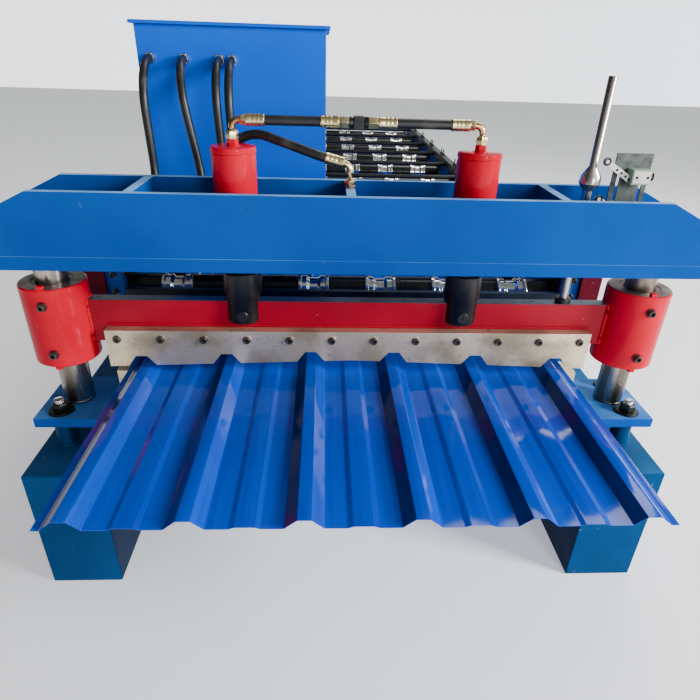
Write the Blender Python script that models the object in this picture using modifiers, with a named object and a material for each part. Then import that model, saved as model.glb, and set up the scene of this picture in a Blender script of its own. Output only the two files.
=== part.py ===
"""Roll forming machine for trapezoidal roof sheet: its exit end with the hydraulic cut-off shear.

Metres, +Z up. The sheet leaves the machine towards -Y. X = 0 is the middle of the sheet, Y = 0 the plane
through the guide posts and cylinders, and Z = 0 the floor under the base beams.
"""

import math

import bmesh
import bpy
from mathutils import Vector

# Clearances
TOUCH = 0.0003
RUNNING = 0.0008
MOVING = 0.005

# Formed sheet
RIB_COUNT = 6
RIB_PITCH = 0.200
RIB_HEIGHT = 0.018
RIB_CREST = 0.024
RIB_BASE = 0.068
SHEET_THICKNESS = 0.002
SHEET_LIP = 0.014
SWAGE_STEP = 0.010
SWAGE_RISE = 0.0035
SHEET_FRONT_Y = -0.548
PASS_Z = 0.530

# Base frame
BEAM_WIDTH = 0.175
BEAM_HEIGHT = 0.350
BEAM_WALL = 0.010
BEAM_X = 0.680
BEAM_FRONT_Y = -0.199
CROSS_HEIGHT = 0.160
CROSS_DEPTH = 0.100
CROSS_COUNT = 3

# Forming stations
STATIONS = 10
STATION_PITCH = 0.400
FIRST_STATION_Y = 0.385
END_MARGIN = 0.200
WALL_X = 0.652
WALL_THICKNESS = 0.030
WALL_TOP_Z = 0.688
WALL_FRONT_MARGIN = 0.085
FLANGE_WIDTH = 0.061
SPACER_RADIUS = 0.044
ROLL_RADIUS = 0.053
ROLL_WIDTH = 0.090
ROLL_EDGE = 0.005
GROOVE_RADIUS = 0.034
LOWER_RADIUS = 0.052
JOURNAL_RADIUS = 0.022
JOURNAL_LENGTH = 0.018
COLLAR_GAP = 0.010
SHAFT_SIDES = 10
BORE_SIDES = 16
RAIL_WIDTH = 0.016
RAIL_HEIGHT = 0.070
STRIP_THICKNESS = 0.006
STRIP_DEPTH = 0.040
TIE_RADIUS = 0.011
TIE_Z = 0.670
GUIDE_BAR_Y = 0.300
GUIDE_BAR_DEPTH = 0.018
GUIDE_BAR_BOTTOM_Z = 0.590
GUIDE_BAR_HEIGHT = 0.028

# Shear base
PLATE_END = 0.075
PLATE_DEPTH = 0.202
PLATE_THICKNESS = 0.024
PLATE_TOP_Z = 0.444
SLOT_SHIFT = 0.022
SLOT_Y = 0.064
SLOT_LENGTH = 0.064
SLOT_WIDTH = 0.026
SLOT_STEPS = 6
STUD_RADIUS = 0.011
STUB_RADIUS = 0.024
WASHER_RADIUS = 0.030
WASHER_HEIGHT = 0.005
NUT_RADIUS = 0.020
NUT_HEIGHT = 0.024
STUD_END = 0.006

# Guide posts and knife carriage
POST_X = 0.684
POST_RADIUS = 0.035
POST_NECK_RADIUS = 0.024
POST_NUT_RADIUS = 0.042
POST_NUT_HEIGHT = 0.030
SLEEVE_RADIUS = 0.073
SLEEVE_BOTTOM_Z = 0.568
SLEEVE_LENGTH = 0.190
BEAM_PLATE_THICKNESS = 0.031
BEAM_PLATE_TOP_Z = 0.716
BEAM_PLATE_BOTTOM_Z = 0.612
KNIFE_THICKNESS = 0.026
KNIFE_SIDE_GAP = 0.035
KNIFE_TOP_Z = 0.650
KNIFE_END_Z = 0.556
KNIFE_MIDDLE_Z = 0.575
NOTCH_BASE = 0.066
NOTCH_CREST = 0.026
NOTCH_DEPTH = 0.025

# Hydraulic cylinders
CYLINDER_X = 0.257
BARREL_RADIUS = 0.047
CAP_TOP_Z = 1.052
CAP_THICKNESS = 0.020
NECK_RADIUS = 0.014
NECK_HEIGHT = 0.030
ROD_RADIUS = 0.022
CLEVIS_TOP_RADIUS = 0.042
CLEVIS_RADIUS = 0.039
CLEVIS_BOTTOM_Z = 0.664
CLEVIS_NECK_Z = 0.715
CLEVIS_TOP_Z = 0.785
PIN_Z = 0.687
PIN_RADIUS = 0.0135
PIN_REACH = 0.042

# Crown
CROWN_BOTTOM_Z = 0.811
CROWN_TOP_Z = 0.973
CROWN_FLOOR = 0.030
CROWN_DEPTH = 0.188
CROWN_WALL = 0.016
CROWN_CUT = 0.106
CROWN_CHAMFER = 0.051
CROWN_RIB = 0.020
CROWN_RIB_PITCH = 0.445
CROWN_RIB_SHIFT = -0.014

# Lower die
DIE_DEPTH = 0.060
DIE_Y = 0.018

# Trip rod and limit switches
TRIP_X = 0.506
TRIP_Y = 0.004
TRIP_RADIUS = 0.010
TRIP_TOP_Z = 1.200
CAM_RADIUS = 0.024
CAM_BOTTOM_Z = 0.966
CAM_CONE = 0.018
CAM_LENGTH = 0.020
SWITCH_PLATE_X = 0.552
SWITCH_PLATE_WIDTH = 0.080
SWITCH_PLATE_TOP_Z = 1.056
SWITCH_PLATE_THICKNESS = 0.004
SWITCH_LENGTH = 0.050
SWITCH_HEIGHT = 0.030
SWITCH_DEPTH = 0.028
SWITCH_ZS = (0.935, 1.012)
SWITCH_ARM_REACH = 0.054
SWITCH_ARM_RISE = 0.032
SWITCH_ARM_THICKNESS = 0.006
SWITCH_ARM_WIDTH = 0.014
SWITCH_ROLLER_RADIUS = 0.009

# Hydraulic tank
TANK_X = -0.293
TANK_WIDTH = 0.454
TANK_LENGTH = 0.560
TANK_FRONT_Y = 0.330
TANK_BOTTOM_Z = 0.790
TANK_HEIGHT = 0.480
TANK_WALL = 0.006
LID_THICKNESS = 0.008
LID_MARGIN = 0.010
BRIDGE_HEIGHT = 0.050
BRIDGE_DEPTH = 0.060
BRIDGE_SHIFTS = (0.140, 0.530)

# Hydraulic hoses
HOSE_RADIUS = 0.0098
HOSE_STEPS = 4
HOSE_STUB = 0.004
TUBE_RADIUS = 0.0068
FERRULE_RADIUS = 0.0112
FERRULE_LENGTH = 0.040
LINE_Z = 1.102
LINE_BEND = 0.016
TEE_HALF = 0.020
TEE_RADIUS = 0.0130
HOSE_NUT_HALF = 0.038
PORT_LENGTH = 0.012
TANK_PORT_Z = 1.200
CROWN_PORT_Z = 0.885
CROWN_PORT_LENGTH = 0.010
HOSE_HANG_Y = 0.207
TANK_HOSES = (("a", -0.486, -0.478), ("b", -0.406, -0.360), ("c", -0.322, -0.311), ("d", -0.292, -0.286))
LOWER_PORT = (-0.290, 0.0605)
LOWER_PORT_TOP_Z = 0.915
LOWER_HOSE_BEND = 0.083
LOWER_HOSE_LAG = 1.5
LOWER_HOSE_END = (-0.068, 0.0, 1.033)
LOWER_FERRULE_END = (-0.029, 0.0, 1.023)

# Derived places
LAST_STATION_Y = FIRST_STATION_Y + (STATIONS - 1) * STATION_PITCH
REAR_Y = LAST_STATION_Y + END_MARGIN
WALL_INNER_X = WALL_X - WALL_THICKNESS / 2
UPPER_Z = PASS_Z + MOVING + ROLL_RADIUS
LOWER_Z = PASS_Z - SHEET_THICKNESS - TOUCH - LOWER_RADIUS
BEAM_FRONT = -BEAM_PLATE_THICKNESS / 2
KNIFE_FRONT = BEAM_FRONT - KNIFE_THICKNESS
KNIFE_LENGTH = 2 * (POST_X - SLEEVE_RADIUS - KNIFE_SIDE_GAP)
PLATE_LENGTH = 2 * (POST_X + PLATE_END)
SLOT_X = POST_X + SLOT_SHIFT
CROWN_LENGTH = PLATE_LENGTH
CROWN_TOP_LENGTH = CROWN_LENGTH - 2 * CROWN_CUT
CROWN_FLOOR_TOP = CROWN_BOTTOM_Z + CROWN_FLOOR
CUT = 0.01


def clear_scene():
    for item in list(bpy.data.objects):
        bpy.data.objects.remove(item, do_unlink=True)


def new_collection(name, hidden=False):
    collection = bpy.data.collections.new(name)
    bpy.context.scene.collection.children.link(collection)
    collection.hide_render = hidden
    return collection


clear_scene()
PARTS = new_collection("roll_forming_machine")
CUTTERS = new_collection("cutters", hidden=True)

ORIGIN = bpy.data.objects.new("machine_frame", None)
PARTS.objects.link(ORIGIN)
ORIGIN.location = (0.0, -(SHEET_FRONT_Y + REAR_Y) / 2, 0.0)


def material(name, colour, roughness, metallic=0.0):
    made = bpy.data.materials.new(name)
    made.use_nodes = True
    shader = made.node_tree.nodes["Principled BSDF"]
    shader.inputs["Base Color"].default_value = (*colour, 1.0)
    shader.inputs["Roughness"].default_value = roughness
    shader.inputs["Metallic"].default_value = metallic
    return made


BLUE = material("blue_enamel", (0.0, 0.13, 0.45), 0.35)
RED = material("red_enamel", (0.70, 0.01, 0.02), 0.22)
SHEET_BLUE = material("blue_sheet_coating", (0.0, 0.16, 0.70), 0.18)
CHROME = material("chromed_steel", (0.60, 0.60, 0.58), 0.12, 1.0)
TOOL_STEEL = material("ground_tool_steel", (0.40, 0.36, 0.30), 0.40, 1.0)
BLACK_STEEL = material("blackened_steel", (0.02, 0.02, 0.025), 0.45, 0.6)
BRASS = material("brass", (0.60, 0.45, 0.20), 0.30, 1.0)
RUBBER = material("hose_rubber", (0.02, 0.02, 0.02), 0.60)


def add_object(name, mesh, finish, collection=None):
    made = bpy.data.objects.new(name, mesh)
    (collection or PARTS).objects.link(made)
    made.parent = ORIGIN
    if finish is not None:
        mesh.materials.append(finish)
    return made


def mesh_from(bm, name):
    mesh = bpy.data.meshes.new(name)
    bm.to_mesh(mesh)
    bm.free()
    return mesh


def box(name, low, high, finish=None, collection=None):
    """A box between two corners."""
    low, high = Vector(low), Vector(high)
    bm = bmesh.new()
    bmesh.ops.create_cube(bm, size=1.0)
    bmesh.ops.scale(bm, vec=high - low, verts=bm.verts)
    made = add_object(name, mesh_from(bm, name), finish, collection)
    made.location = (low + high) / 2
    return made


def turned(name, profile, finish=None, sides=16, along="Z", collection=None):
    """A solid of revolution: the profile is a list of (radius, height) from the bottom to the top."""
    bm = bmesh.new()
    points = [bm.verts.new((radius, 0.0, height)) for radius, height in reversed(profile)]
    for first, second in zip(points, points[1:]):
        bm.edges.new((first, second))
    made = add_object(name, mesh_from(bm, name), finish, collection)
    screw = made.modifiers.new("turn", "SCREW")
    screw.steps = sides
    screw.render_steps = sides
    screw.use_merge_vertices = True
    screw.merge_threshold = 0.00001
    if along == "X":
        made.rotation_euler = (0.0, math.pi / 2, 0.0)
    if along == "Y":
        made.rotation_euler = (-math.pi / 2, 0.0, 0.0)
    made.data.shade_smooth()
    return made


def rod(name, radius, start, length, finish=None, sides=16, along="Z", collection=None):
    profile = [(0.0, 0.0), (radius, 0.0), (radius, length), (0.0, length)]
    made = turned(name, profile, finish, sides, along, collection)
    made.location = start
    return made


def outline_plate(name, points, thickness, finish=None, collection=None):
    """A flat outline in X and Z, with its thickness centred on Y."""
    bm = bmesh.new()
    face = bm.faces.new([bm.verts.new((x, -thickness / 2, z)) for x, z in points])
    pushed = bmesh.ops.extrude_face_region(bm, geom=[face])
    moved = [item for item in pushed["geom"] if isinstance(item, bmesh.types.BMVert)]
    bmesh.ops.translate(bm, verts=moved, vec=(0.0, thickness, 0.0))
    bmesh.ops.recalc_face_normals(bm, faces=bm.faces)
    return add_object(name, mesh_from(bm, name), finish, collection)


def combine(target, tool, operation="DIFFERENCE"):
    change = target.modifiers.new(operation.lower(), "BOOLEAN")
    change.operation = operation
    change.solver = "EXACT"
    change.object = tool
    tool.hide_render = True
    tool.display_type = "WIRE"
    return target


def unite(target, tool):
    bpy.context.scene.collection.children[PARTS.name].objects.unlink(tool)
    CUTTERS.objects.link(tool)
    return combine(target, tool, "UNION")


def swept(name, route, finish=None, sides=8, collection=None):
    """A closed tube along a route of (point, radius), with a flat cap at each end."""
    bm = bmesh.new()
    rings = []
    for index, (point, radius) in enumerate(route):
        here = Vector(point)
        steps = [[here - Vector(p) for p, _ in reversed(route[:index])], [Vector(p) - here for p, _ in route[index:]]]
        ways = [next((step.normalized() for step in side if step.length > TOUCH), Vector()) for side in steps]
        ahead = sum(ways, Vector()).normalized()
        turn = ahead.to_track_quat("Z", "Y")
        ring = []
        for side in range(sides):
            angle = 2 * math.pi * side / sides
            outward = Vector((radius * math.cos(angle), radius * math.sin(angle), 0.0))
            ring.append(bm.verts.new(here + turn @ outward))
        rings.append(ring)
    for near, far in zip(rings, rings[1:]):
        for side in range(sides):
            following = (side + 1) % sides
            bm.faces.new((near[side], near[following], far[following], far[side]))
    bm.faces.new(list(reversed(rings[0])))
    bm.faces.new(rings[-1])
    bmesh.ops.recalc_face_normals(bm, faces=bm.faces)
    made = add_object(name, mesh_from(bm, name), finish, collection)
    made.data.shade_smooth()
    return made


def hose(name, route):
    """A hose as a bevelled curve through the points of its route."""
    curve = bpy.data.curves.new(name, "CURVE")
    curve.dimensions = "3D"
    curve.bevel_depth = HOSE_RADIUS
    curve.bevel_resolution = 2
    curve.use_fill_caps = True
    spline = curve.splines.new("POLY")
    spline.points.add(len(route) - 1)
    for place, point in zip(spline.points, route):
        place.co = (*point, 1.0)
    return add_object(name, curve, RUBBER)


def blend(fraction):
    """From 0 to 1 with no slope at either end."""
    return (1.0 - math.cos(math.pi * fraction)) / 2


def cutter_box(name, low, high):
    return box(name, low, high, collection=CUTTERS)


def cutter_rod(name, radius, start, length, sides=16, along="Z"):
    return rod(name, radius, start, length, sides=sides, along=along, collection=CUTTERS)


def rib_places():
    return [(index - (RIB_COUNT - 1) / 2) * RIB_PITCH for index in range(RIB_COUNT)]


def sheet_profile():
    """Across the sheet: (x, height above the pan), with a low raised strip in each pan."""
    places = rib_places()
    points = [(places[0] - RIB_BASE / 2 - SHEET_LIP, 0.0)]
    for index, x in enumerate(places):
        points += [(x - RIB_BASE / 2, 0.0), (x - RIB_CREST / 2, RIB_HEIGHT)]
        points += [(x + RIB_CREST / 2, RIB_HEIGHT), (x + RIB_BASE / 2, 0.0)]
        if index + 1 == len(places):
            continue
        pan = RIB_PITCH - RIB_BASE
        left, right = x + RIB_BASE / 2 + pan / 3, x + RIB_BASE / 2 + pan * 2 / 3
        points += [(left - SWAGE_STEP / 2, 0.0), (left + SWAGE_STEP / 2, SWAGE_RISE)]
        points += [(right - SWAGE_STEP / 2, SWAGE_RISE), (right + SWAGE_STEP / 2, 0.0)]
    points.append((places[-1] + RIB_BASE / 2 + SHEET_LIP, 0.0))
    return points


def formed_sheet():
    bm = bmesh.new()
    near = [bm.verts.new((x, SHEET_FRONT_Y, PASS_Z + up)) for x, up in sheet_profile()]
    far = [bm.verts.new((x, REAR_Y, PASS_Z + up)) for x, up in sheet_profile()]
    for index in range(len(near) - 1):
        bm.faces.new((near[index], near[index + 1], far[index + 1], far[index]))
    made = add_object("formed_sheet", mesh_from(bm, "formed_sheet"), SHEET_BLUE)
    shell = made.modifiers.new("thickness", "SOLIDIFY")
    shell.thickness = SHEET_THICKNESS
    shell.offset = -1.0
    return made


def base_frame():
    for side, name in ((-1, "left"), (1, "right")):
        x = side * BEAM_X
        beam = box(
            f"base_beam_{name}",
            (x - BEAM_WIDTH / 2, BEAM_FRONT_Y, 0.0),
            (x + BEAM_WIDTH / 2, REAR_Y, BEAM_HEIGHT),
            BLUE,
        )
        hollow = cutter_box(
            f"beam_hollow_{name}",
            (x - BEAM_WIDTH / 2 + BEAM_WALL, BEAM_FRONT_Y + BEAM_WALL, BEAM_WALL),
            (x + BEAM_WIDTH / 2 - BEAM_WALL, REAR_Y + BEAM_WALL, BEAM_HEIGHT - BEAM_WALL),
        )
        combine(beam, hollow)
    inner = BEAM_X - BEAM_WIDTH / 2 - TOUCH
    spacing = (REAR_Y - FIRST_STATION_Y) / CROSS_COUNT
    for index in range(CROSS_COUNT):
        y = FIRST_STATION_Y + (index + 0.5) * spacing
        low = (-inner, y - CROSS_DEPTH / 2, BEAM_HEIGHT - CROSS_HEIGHT)
        box(f"cross_member_{index + 1}", low, (inner, y + CROSS_DEPTH / 2, BEAM_HEIGHT), BLUE)


def side_walls():
    front = FIRST_STATION_Y - WALL_FRONT_MARGIN
    for side, name in ((-1, "left"), (1, "right")):
        x = side * WALL_X
        wall = box(
            f"side_wall_{name}",
            (x - WALL_THICKNESS / 2, front, BEAM_HEIGHT + TOUCH),
            (x + WALL_THICKNESS / 2, REAR_Y, WALL_TOP_Z),
            BLUE,
        )
        outer = sorted((x - side * WALL_THICKNESS / 2, side * (WALL_INNER_X + FLANGE_WIDTH)))
        flange = box(
            f"wall_flange_{name}",
            (outer[0], front, BEAM_HEIGHT + TOUCH),
            (outer[1], front + WALL_THICKNESS, WALL_TOP_Z),
        )
        unite(wall, flange)
        for station in range(STATIONS):
            start = side * (WALL_INNER_X - CUT)
            depth = JOURNAL_LENGTH + CUT
            bore = cutter_rod(
                f"bearing_{name}_{station + 1}",
                (JOURNAL_RADIUS + TOUCH) / math.cos(math.pi / BORE_SIDES),
                (start if side > 0 else start - depth, station_y(station), UPPER_Z),
                depth,
                BORE_SIDES,
                "X",
            )
            combine(wall, bore)


def tie_frame():
    """The black angles on the side walls, and the round bars from one to the other."""
    front = FIRST_STATION_Y - WALL_FRONT_MARGIN
    top = WALL_TOP_Z + TOUCH + STRIP_THICKNESS
    inner = WALL_INNER_X - TOUCH
    frame = None
    for side in (-1, 1):
        for far, low_z in ((WALL_INNER_X + WALL_THICKNESS, WALL_TOP_Z + TOUCH), (inner, top - STRIP_DEPTH)):
            xs = sorted((side * (inner - STRIP_THICKNESS), side * far))
            leg = box("tie_frame_leg", (xs[0], front, low_z), (xs[1], REAR_Y, top), BLACK_STEEL)
            if frame is None:
                frame = leg
                frame.name = "tie_frame"
            else:
                unite(frame, leg)
    reach = inner - STRIP_THICKNESS / 2
    for gap in range(STATIONS - 1):
        start = (-reach, station_y(gap + 0.5), TIE_Z)
        unite(frame, rod(f"tie_bar_{gap + 1}", TIE_RADIUS, start, 2 * reach, None, 8, "X"))


def exit_guide_bar():
    half = WALL_INNER_X - TOUCH
    top = GUIDE_BAR_BOTTOM_Z + GUIDE_BAR_HEIGHT
    rear = GUIDE_BAR_Y + GUIDE_BAR_DEPTH
    box("exit_guide_bar", (-half, GUIDE_BAR_Y, GUIDE_BAR_BOTTOM_Z), (half, rear, top), BLUE)


def upper_profile():
    half = WALL_INNER_X - COLLAR_GAP
    end = WALL_INNER_X + JOURNAL_LENGTH - TOUCH
    points = [(0.0, -end), (JOURNAL_RADIUS, -end), (JOURNAL_RADIUS, -half), (SPACER_RADIUS, -half)]
    for x in rib_places():
        edge = ROLL_WIDTH / 2
        points += [(SPACER_RADIUS, x - edge), (ROLL_RADIUS, x - edge + ROLL_EDGE)]
        points += [(GROOVE_RADIUS, x - NOTCH_CREST / 2), (GROOVE_RADIUS, x + NOTCH_CREST / 2)]
        points += [(ROLL_RADIUS, x + edge - ROLL_EDGE), (SPACER_RADIUS, x + edge)]
    points += [(SPACER_RADIUS, half), (JOURNAL_RADIUS, half), (JOURNAL_RADIUS, end), (0.0, end)]
    return points


def station_y(station):
    return FIRST_STATION_Y + station * STATION_PITCH


def upper_shafts():
    for station in range(STATIONS):
        upper = turned(f"upper_shaft_{station + 1:02d}", upper_profile(), CHROME, SHAFT_SIDES, "X")
        upper.location = (0.0, station_y(station), UPPER_Z)


def lower_roll_bank():
    """The rolls under the sheet, carried by a bearing rail along each side wall."""
    outer = WALL_INNER_X - TOUCH
    inner = outer - RAIL_WIDTH
    shoulder = inner - COLLAR_GAP
    reach = outer - RAIL_WIDTH / 2
    bank = None
    for side in (-1, 1):
        xs = sorted((side * inner, side * outer))
        low = (xs[0], FIRST_STATION_Y - RAIL_HEIGHT, LOWER_Z - RAIL_HEIGHT / 2)
        high = (xs[1], LAST_STATION_Y + RAIL_HEIGHT, LOWER_Z + RAIL_HEIGHT / 2)
        rail = box("bearing_rail", low, high, CHROME)
        if bank is None:
            bank = rail
            bank.name = "lower_roll_bank"
        else:
            unite(bank, rail)
    profile = [
        (0.0, -reach),
        (JOURNAL_RADIUS, -reach),
        (JOURNAL_RADIUS, -shoulder),
        (LOWER_RADIUS, -shoulder),
        (LOWER_RADIUS, shoulder),
        (JOURNAL_RADIUS, shoulder),
        (JOURNAL_RADIUS, reach),
        (0.0, reach),
    ]
    for station in range(STATIONS):
        lower = turned(f"lower_shaft_{station + 1}", profile, None, SHAFT_SIDES, "X")
        lower.location = (0.0, station_y(station), LOWER_Z)
        unite(bank, lower)


def slot_cutter(name, x, y):
    """A long hole through the plate: an outline with half round ends, pushed up through it."""
    radius = SLOT_WIDTH / 2
    reach = SLOT_LENGTH / 2 - radius
    points = []
    for step in range(2 * SLOT_STEPS + 2):
        end = 1 if step <= SLOT_STEPS else -1
        angle = -math.pi / 2 + math.pi * (step - (step > SLOT_STEPS)) / SLOT_STEPS
        points.append((x + end * reach + radius * math.cos(angle), y + radius * math.sin(angle)))
    bm = bmesh.new()
    low_z = PLATE_TOP_Z - PLATE_THICKNESS - CUT
    face = bm.faces.new([bm.verts.new((px, py, low_z)) for px, py in points])
    pushed = bmesh.ops.extrude_face_region(bm, geom=[face])
    moved = [item for item in pushed["geom"] if isinstance(item, bmesh.types.BMVert)]
    bmesh.ops.translate(bm, verts=moved, vec=(0.0, 0.0, PLATE_THICKNESS + 2 * CUT))
    bmesh.ops.recalc_face_normals(bm, faces=bm.faces)
    return add_object(name, mesh_from(bm, name), None, CUTTERS)


def shear_base():
    bottom = PLATE_TOP_Z - PLATE_THICKNESS
    washer_top = PLATE_TOP_Z + WASHER_HEIGHT
    plate = box(
        "base_plate",
        (-PLATE_LENGTH / 2, -PLATE_DEPTH / 2, bottom),
        (PLATE_LENGTH / 2, PLATE_DEPTH / 2, PLATE_TOP_Z),
        BLUE,
    )
    for side, name in ((-1, "left"), (1, "right")):
        start = (side * POST_X, 0.0, bottom - CUT)
        hole = cutter_rod(f"post_hole_{name}", POST_NECK_RADIUS + TOUCH, start, PLATE_THICKNESS + 2 * CUT)
        combine(plate, hole)
        for end, place in ((-1, "front"), (1, "rear")):
            x, y = side * SLOT_X, end * SLOT_Y
            combine(plate, slot_cutter(f"slot_{name}_{place}", x, y))
            stud = [
                (0.0, BEAM_HEIGHT + TOUCH),
                (STUB_RADIUS, BEAM_HEIGHT + TOUCH),
                (STUB_RADIUS, bottom - TOUCH),
                (STUD_RADIUS, bottom - TOUCH),
                (STUD_RADIUS, PLATE_TOP_Z + TOUCH),
                (WASHER_RADIUS, PLATE_TOP_Z + TOUCH),
                (WASHER_RADIUS, washer_top),
                (NUT_RADIUS, washer_top),
                (NUT_RADIUS, washer_top + NUT_HEIGHT),
                (STUD_RADIUS, washer_top + NUT_HEIGHT),
                (STUD_RADIUS, washer_top + NUT_HEIGHT + STUD_END),
                (0.0, washer_top + NUT_HEIGHT + STUD_END),
            ]
            made = turned(f"mount_stud_{name}_{place}", stud, BLACK_STEEL, 10)
            made.location = (x, y, 0.0)


def guide_posts():
    bottom = PLATE_TOP_Z - PLATE_THICKNESS
    profile = [
        (0.0, bottom - POST_NUT_HEIGHT),
        (POST_NUT_RADIUS, bottom - POST_NUT_HEIGHT),
        (POST_NUT_RADIUS, bottom - TOUCH),
        (POST_NECK_RADIUS, bottom - TOUCH),
        (POST_NECK_RADIUS, PLATE_TOP_Z + TOUCH),
        (POST_RADIUS, PLATE_TOP_Z + TOUCH),
        (POST_RADIUS, CROWN_BOTTOM_Z - TOUCH),
        (POST_NECK_RADIUS, CROWN_BOTTOM_Z - TOUCH),
        (POST_NECK_RADIUS, CROWN_FLOOR_TOP + TOUCH),
        (POST_NUT_RADIUS, CROWN_FLOOR_TOP + TOUCH),
        (POST_NUT_RADIUS, CROWN_FLOOR_TOP + POST_NUT_HEIGHT),
        (0.0, CROWN_FLOOR_TOP + POST_NUT_HEIGHT),
    ]
    for side, name in ((-1, "left"), (1, "right")):
        post = turned(f"guide_post_{name}", profile, CHROME, 16)
        post.location = (side * POST_X, 0.0, 0.0)


def knife_carriage():
    sleeve_top = SLEEVE_BOTTOM_Z + SLEEVE_LENGTH
    bore = POST_RADIUS + RUNNING
    ring = [
        (bore, SLEEVE_BOTTOM_Z),
        (SLEEVE_RADIUS, SLEEVE_BOTTOM_Z),
        (SLEEVE_RADIUS, sleeve_top),
        (bore, sleeve_top),
        (bore, SLEEVE_BOTTOM_Z),
    ]
    for side, name in ((-1, "left"), (1, "right")):
        sleeve = turned(f"guide_sleeve_{name}", ring, RED, 20)
        sleeve.location = (side * POST_X, 0.0, 0.0)
    reach = POST_X - SLEEVE_RADIUS - TOUCH
    beam = box(
        "knife_beam",
        (-reach, BEAM_FRONT, BEAM_PLATE_BOTTOM_Z),
        (reach, -BEAM_FRONT, BEAM_PLATE_TOP_Z),
        RED,
    )
    for side, name in ((-1, "left"), (1, "right")):
        start = (side * CYLINDER_X, BEAM_FRONT - CUT, PIN_Z)
        length = BEAM_PLATE_THICKNESS + 2 * CUT
        combine(beam, cutter_rod(f"pin_hole_{name}", PIN_RADIUS + RUNNING, start, length, 12, "Y"))
    upper_knife()
    for side, name in ((-1, "left"), (1, "right")):
        clevis(name, side * CYLINDER_X)


def knife_edge_z(x):
    return KNIFE_MIDDLE_Z - (KNIFE_MIDDLE_Z - KNIFE_END_Z) * abs(x) / (KNIFE_LENGTH / 2)


def upper_knife():
    points = [(-KNIFE_LENGTH / 2, KNIFE_TOP_Z), (-KNIFE_LENGTH / 2, KNIFE_END_Z)]
    for x in rib_places():
        low_left, low_right = x - NOTCH_BASE / 2, x + NOTCH_BASE / 2
        crest = knife_edge_z(x) + NOTCH_DEPTH
        points += [(low_left, knife_edge_z(low_left)), (x - NOTCH_CREST / 2, crest)]
        points += [(x + NOTCH_CREST / 2, crest), (low_right, knife_edge_z(low_right))]
        if x < 0 < x + RIB_PITCH:
            points.append((0.0, KNIFE_MIDDLE_Z))
    points += [(KNIFE_LENGTH / 2, KNIFE_END_Z), (KNIFE_LENGTH / 2, KNIFE_TOP_Z)]
    knife = outline_plate("upper_knife", points, KNIFE_THICKNESS - TOUCH, TOOL_STEEL)
    knife.location = (0.0, KNIFE_FRONT + (KNIFE_THICKNESS - TOUCH) / 2, 0.0)
    return knife


def clevis(name, x):
    """The rod's end: a fork that takes the knife beam between its cheeks, with its pin and the rod above."""
    rod_top = CROWN_TOP_Z - 0.010
    body = turned(
        f"rod_clevis_{name}",
        [
            (0.0, CLEVIS_BOTTOM_Z),
            (CLEVIS_RADIUS, CLEVIS_BOTTOM_Z),
            (CLEVIS_RADIUS, CLEVIS_NECK_Z),
            (CLEVIS_TOP_RADIUS, CLEVIS_NECK_Z + 0.006),
            (CLEVIS_TOP_RADIUS, CLEVIS_TOP_Z),
            (ROD_RADIUS, CLEVIS_TOP_Z),
            (ROD_RADIUS, rod_top),
            (0.0, rod_top),
        ],
        BLACK_STEEL,
        16,
    )
    body.location = (x, 0.0, 0.0)
    gap = BEAM_PLATE_THICKNESS / 2 + TOUCH
    slot = cutter_box(
        f"fork_slot_{name}",
        (x - CLEVIS_RADIUS - CUT, -gap, CLEVIS_BOTTOM_Z - CUT),
        (x + CLEVIS_RADIUS + CUT, gap, BEAM_PLATE_TOP_Z + TOUCH),
    )
    combine(body, slot)
    unite(body, rod(f"clevis_pin_{name}", PIN_RADIUS, (x, -PIN_REACH, PIN_Z), 2 * PIN_REACH, None, 12, "Y"))


def crown():
    half, top_half = CROWN_LENGTH / 2, CROWN_TOP_LENGTH / 2
    depth = CROWN_DEPTH / 2
    through = CROWN_FLOOR + 2 * CUT
    floor = box("crown_floor", (-half, -depth, CROWN_BOTTOM_Z), (half, depth, CROWN_FLOOR_TOP), BLUE)
    for side, name in ((-1, "left"), (1, "right")):
        start = (side * POST_X, 0.0, CROWN_BOTTOM_Z - CUT)
        combine(floor, cutter_rod(f"crown_post_hole_{name}", POST_NECK_RADIUS + TOUCH, start, through))
        start = (side * CYLINDER_X, 0.0, CROWN_BOTTOM_Z - CUT)
        combine(floor, cutter_rod(f"rod_hole_{name}", ROD_RADIUS + RUNNING, start, through))
    start = (TRIP_X, TRIP_Y, CROWN_BOTTOM_Z - CUT)
    combine(floor, cutter_rod("trip_rod_hole", TRIP_RADIUS + MOVING, start, through, 12))
    outline = [
        (-half, CROWN_FLOOR_TOP + TOUCH),
        (half, CROWN_FLOOR_TOP + TOUCH),
        (half, CROWN_TOP_Z - CROWN_CHAMFER),
        (top_half, CROWN_TOP_Z),
        (-top_half, CROWN_TOP_Z),
        (-half, CROWN_TOP_Z - CROWN_CHAMFER),
    ]
    for end, name in ((-1, "front"), (1, "rear")):
        plate = outline_plate(f"crown_{name}_plate", outline, CROWN_WALL, BLUE)
        plate.location = (0.0, end * (depth - CROWN_WALL / 2), 0.0)
        if name == "rear":
            for letter, _, x in TANK_HOSES:
                start = (x, depth - CUT, CROWN_PORT_Z)
                length = CROWN_PORT_LENGTH + CUT
                unite(plate, rod(f"crown_port_{letter}", FERRULE_RADIUS, start, length, None, 8, "Y"))
    port = (*LOWER_PORT, CROWN_FLOOR_TOP - CUT)
    unite(floor, rod("lower_port", FERRULE_RADIUS, port, LOWER_PORT_TOP_Z - port[2], None, 10))
    inner = depth - CROWN_WALL - TOUCH
    for index, name in ((-1, "left"), (0, "middle"), (1, "right")):
        x = CROWN_RIB_SHIFT + index * CROWN_RIB_PITCH
        low = (x - CROWN_RIB / 2, -inner, CROWN_FLOOR_TOP - CUT)
        unite(floor, box(f"crown_rib_{name}", low, (x + CROWN_RIB / 2, inner, CROWN_TOP_Z)))


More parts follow.
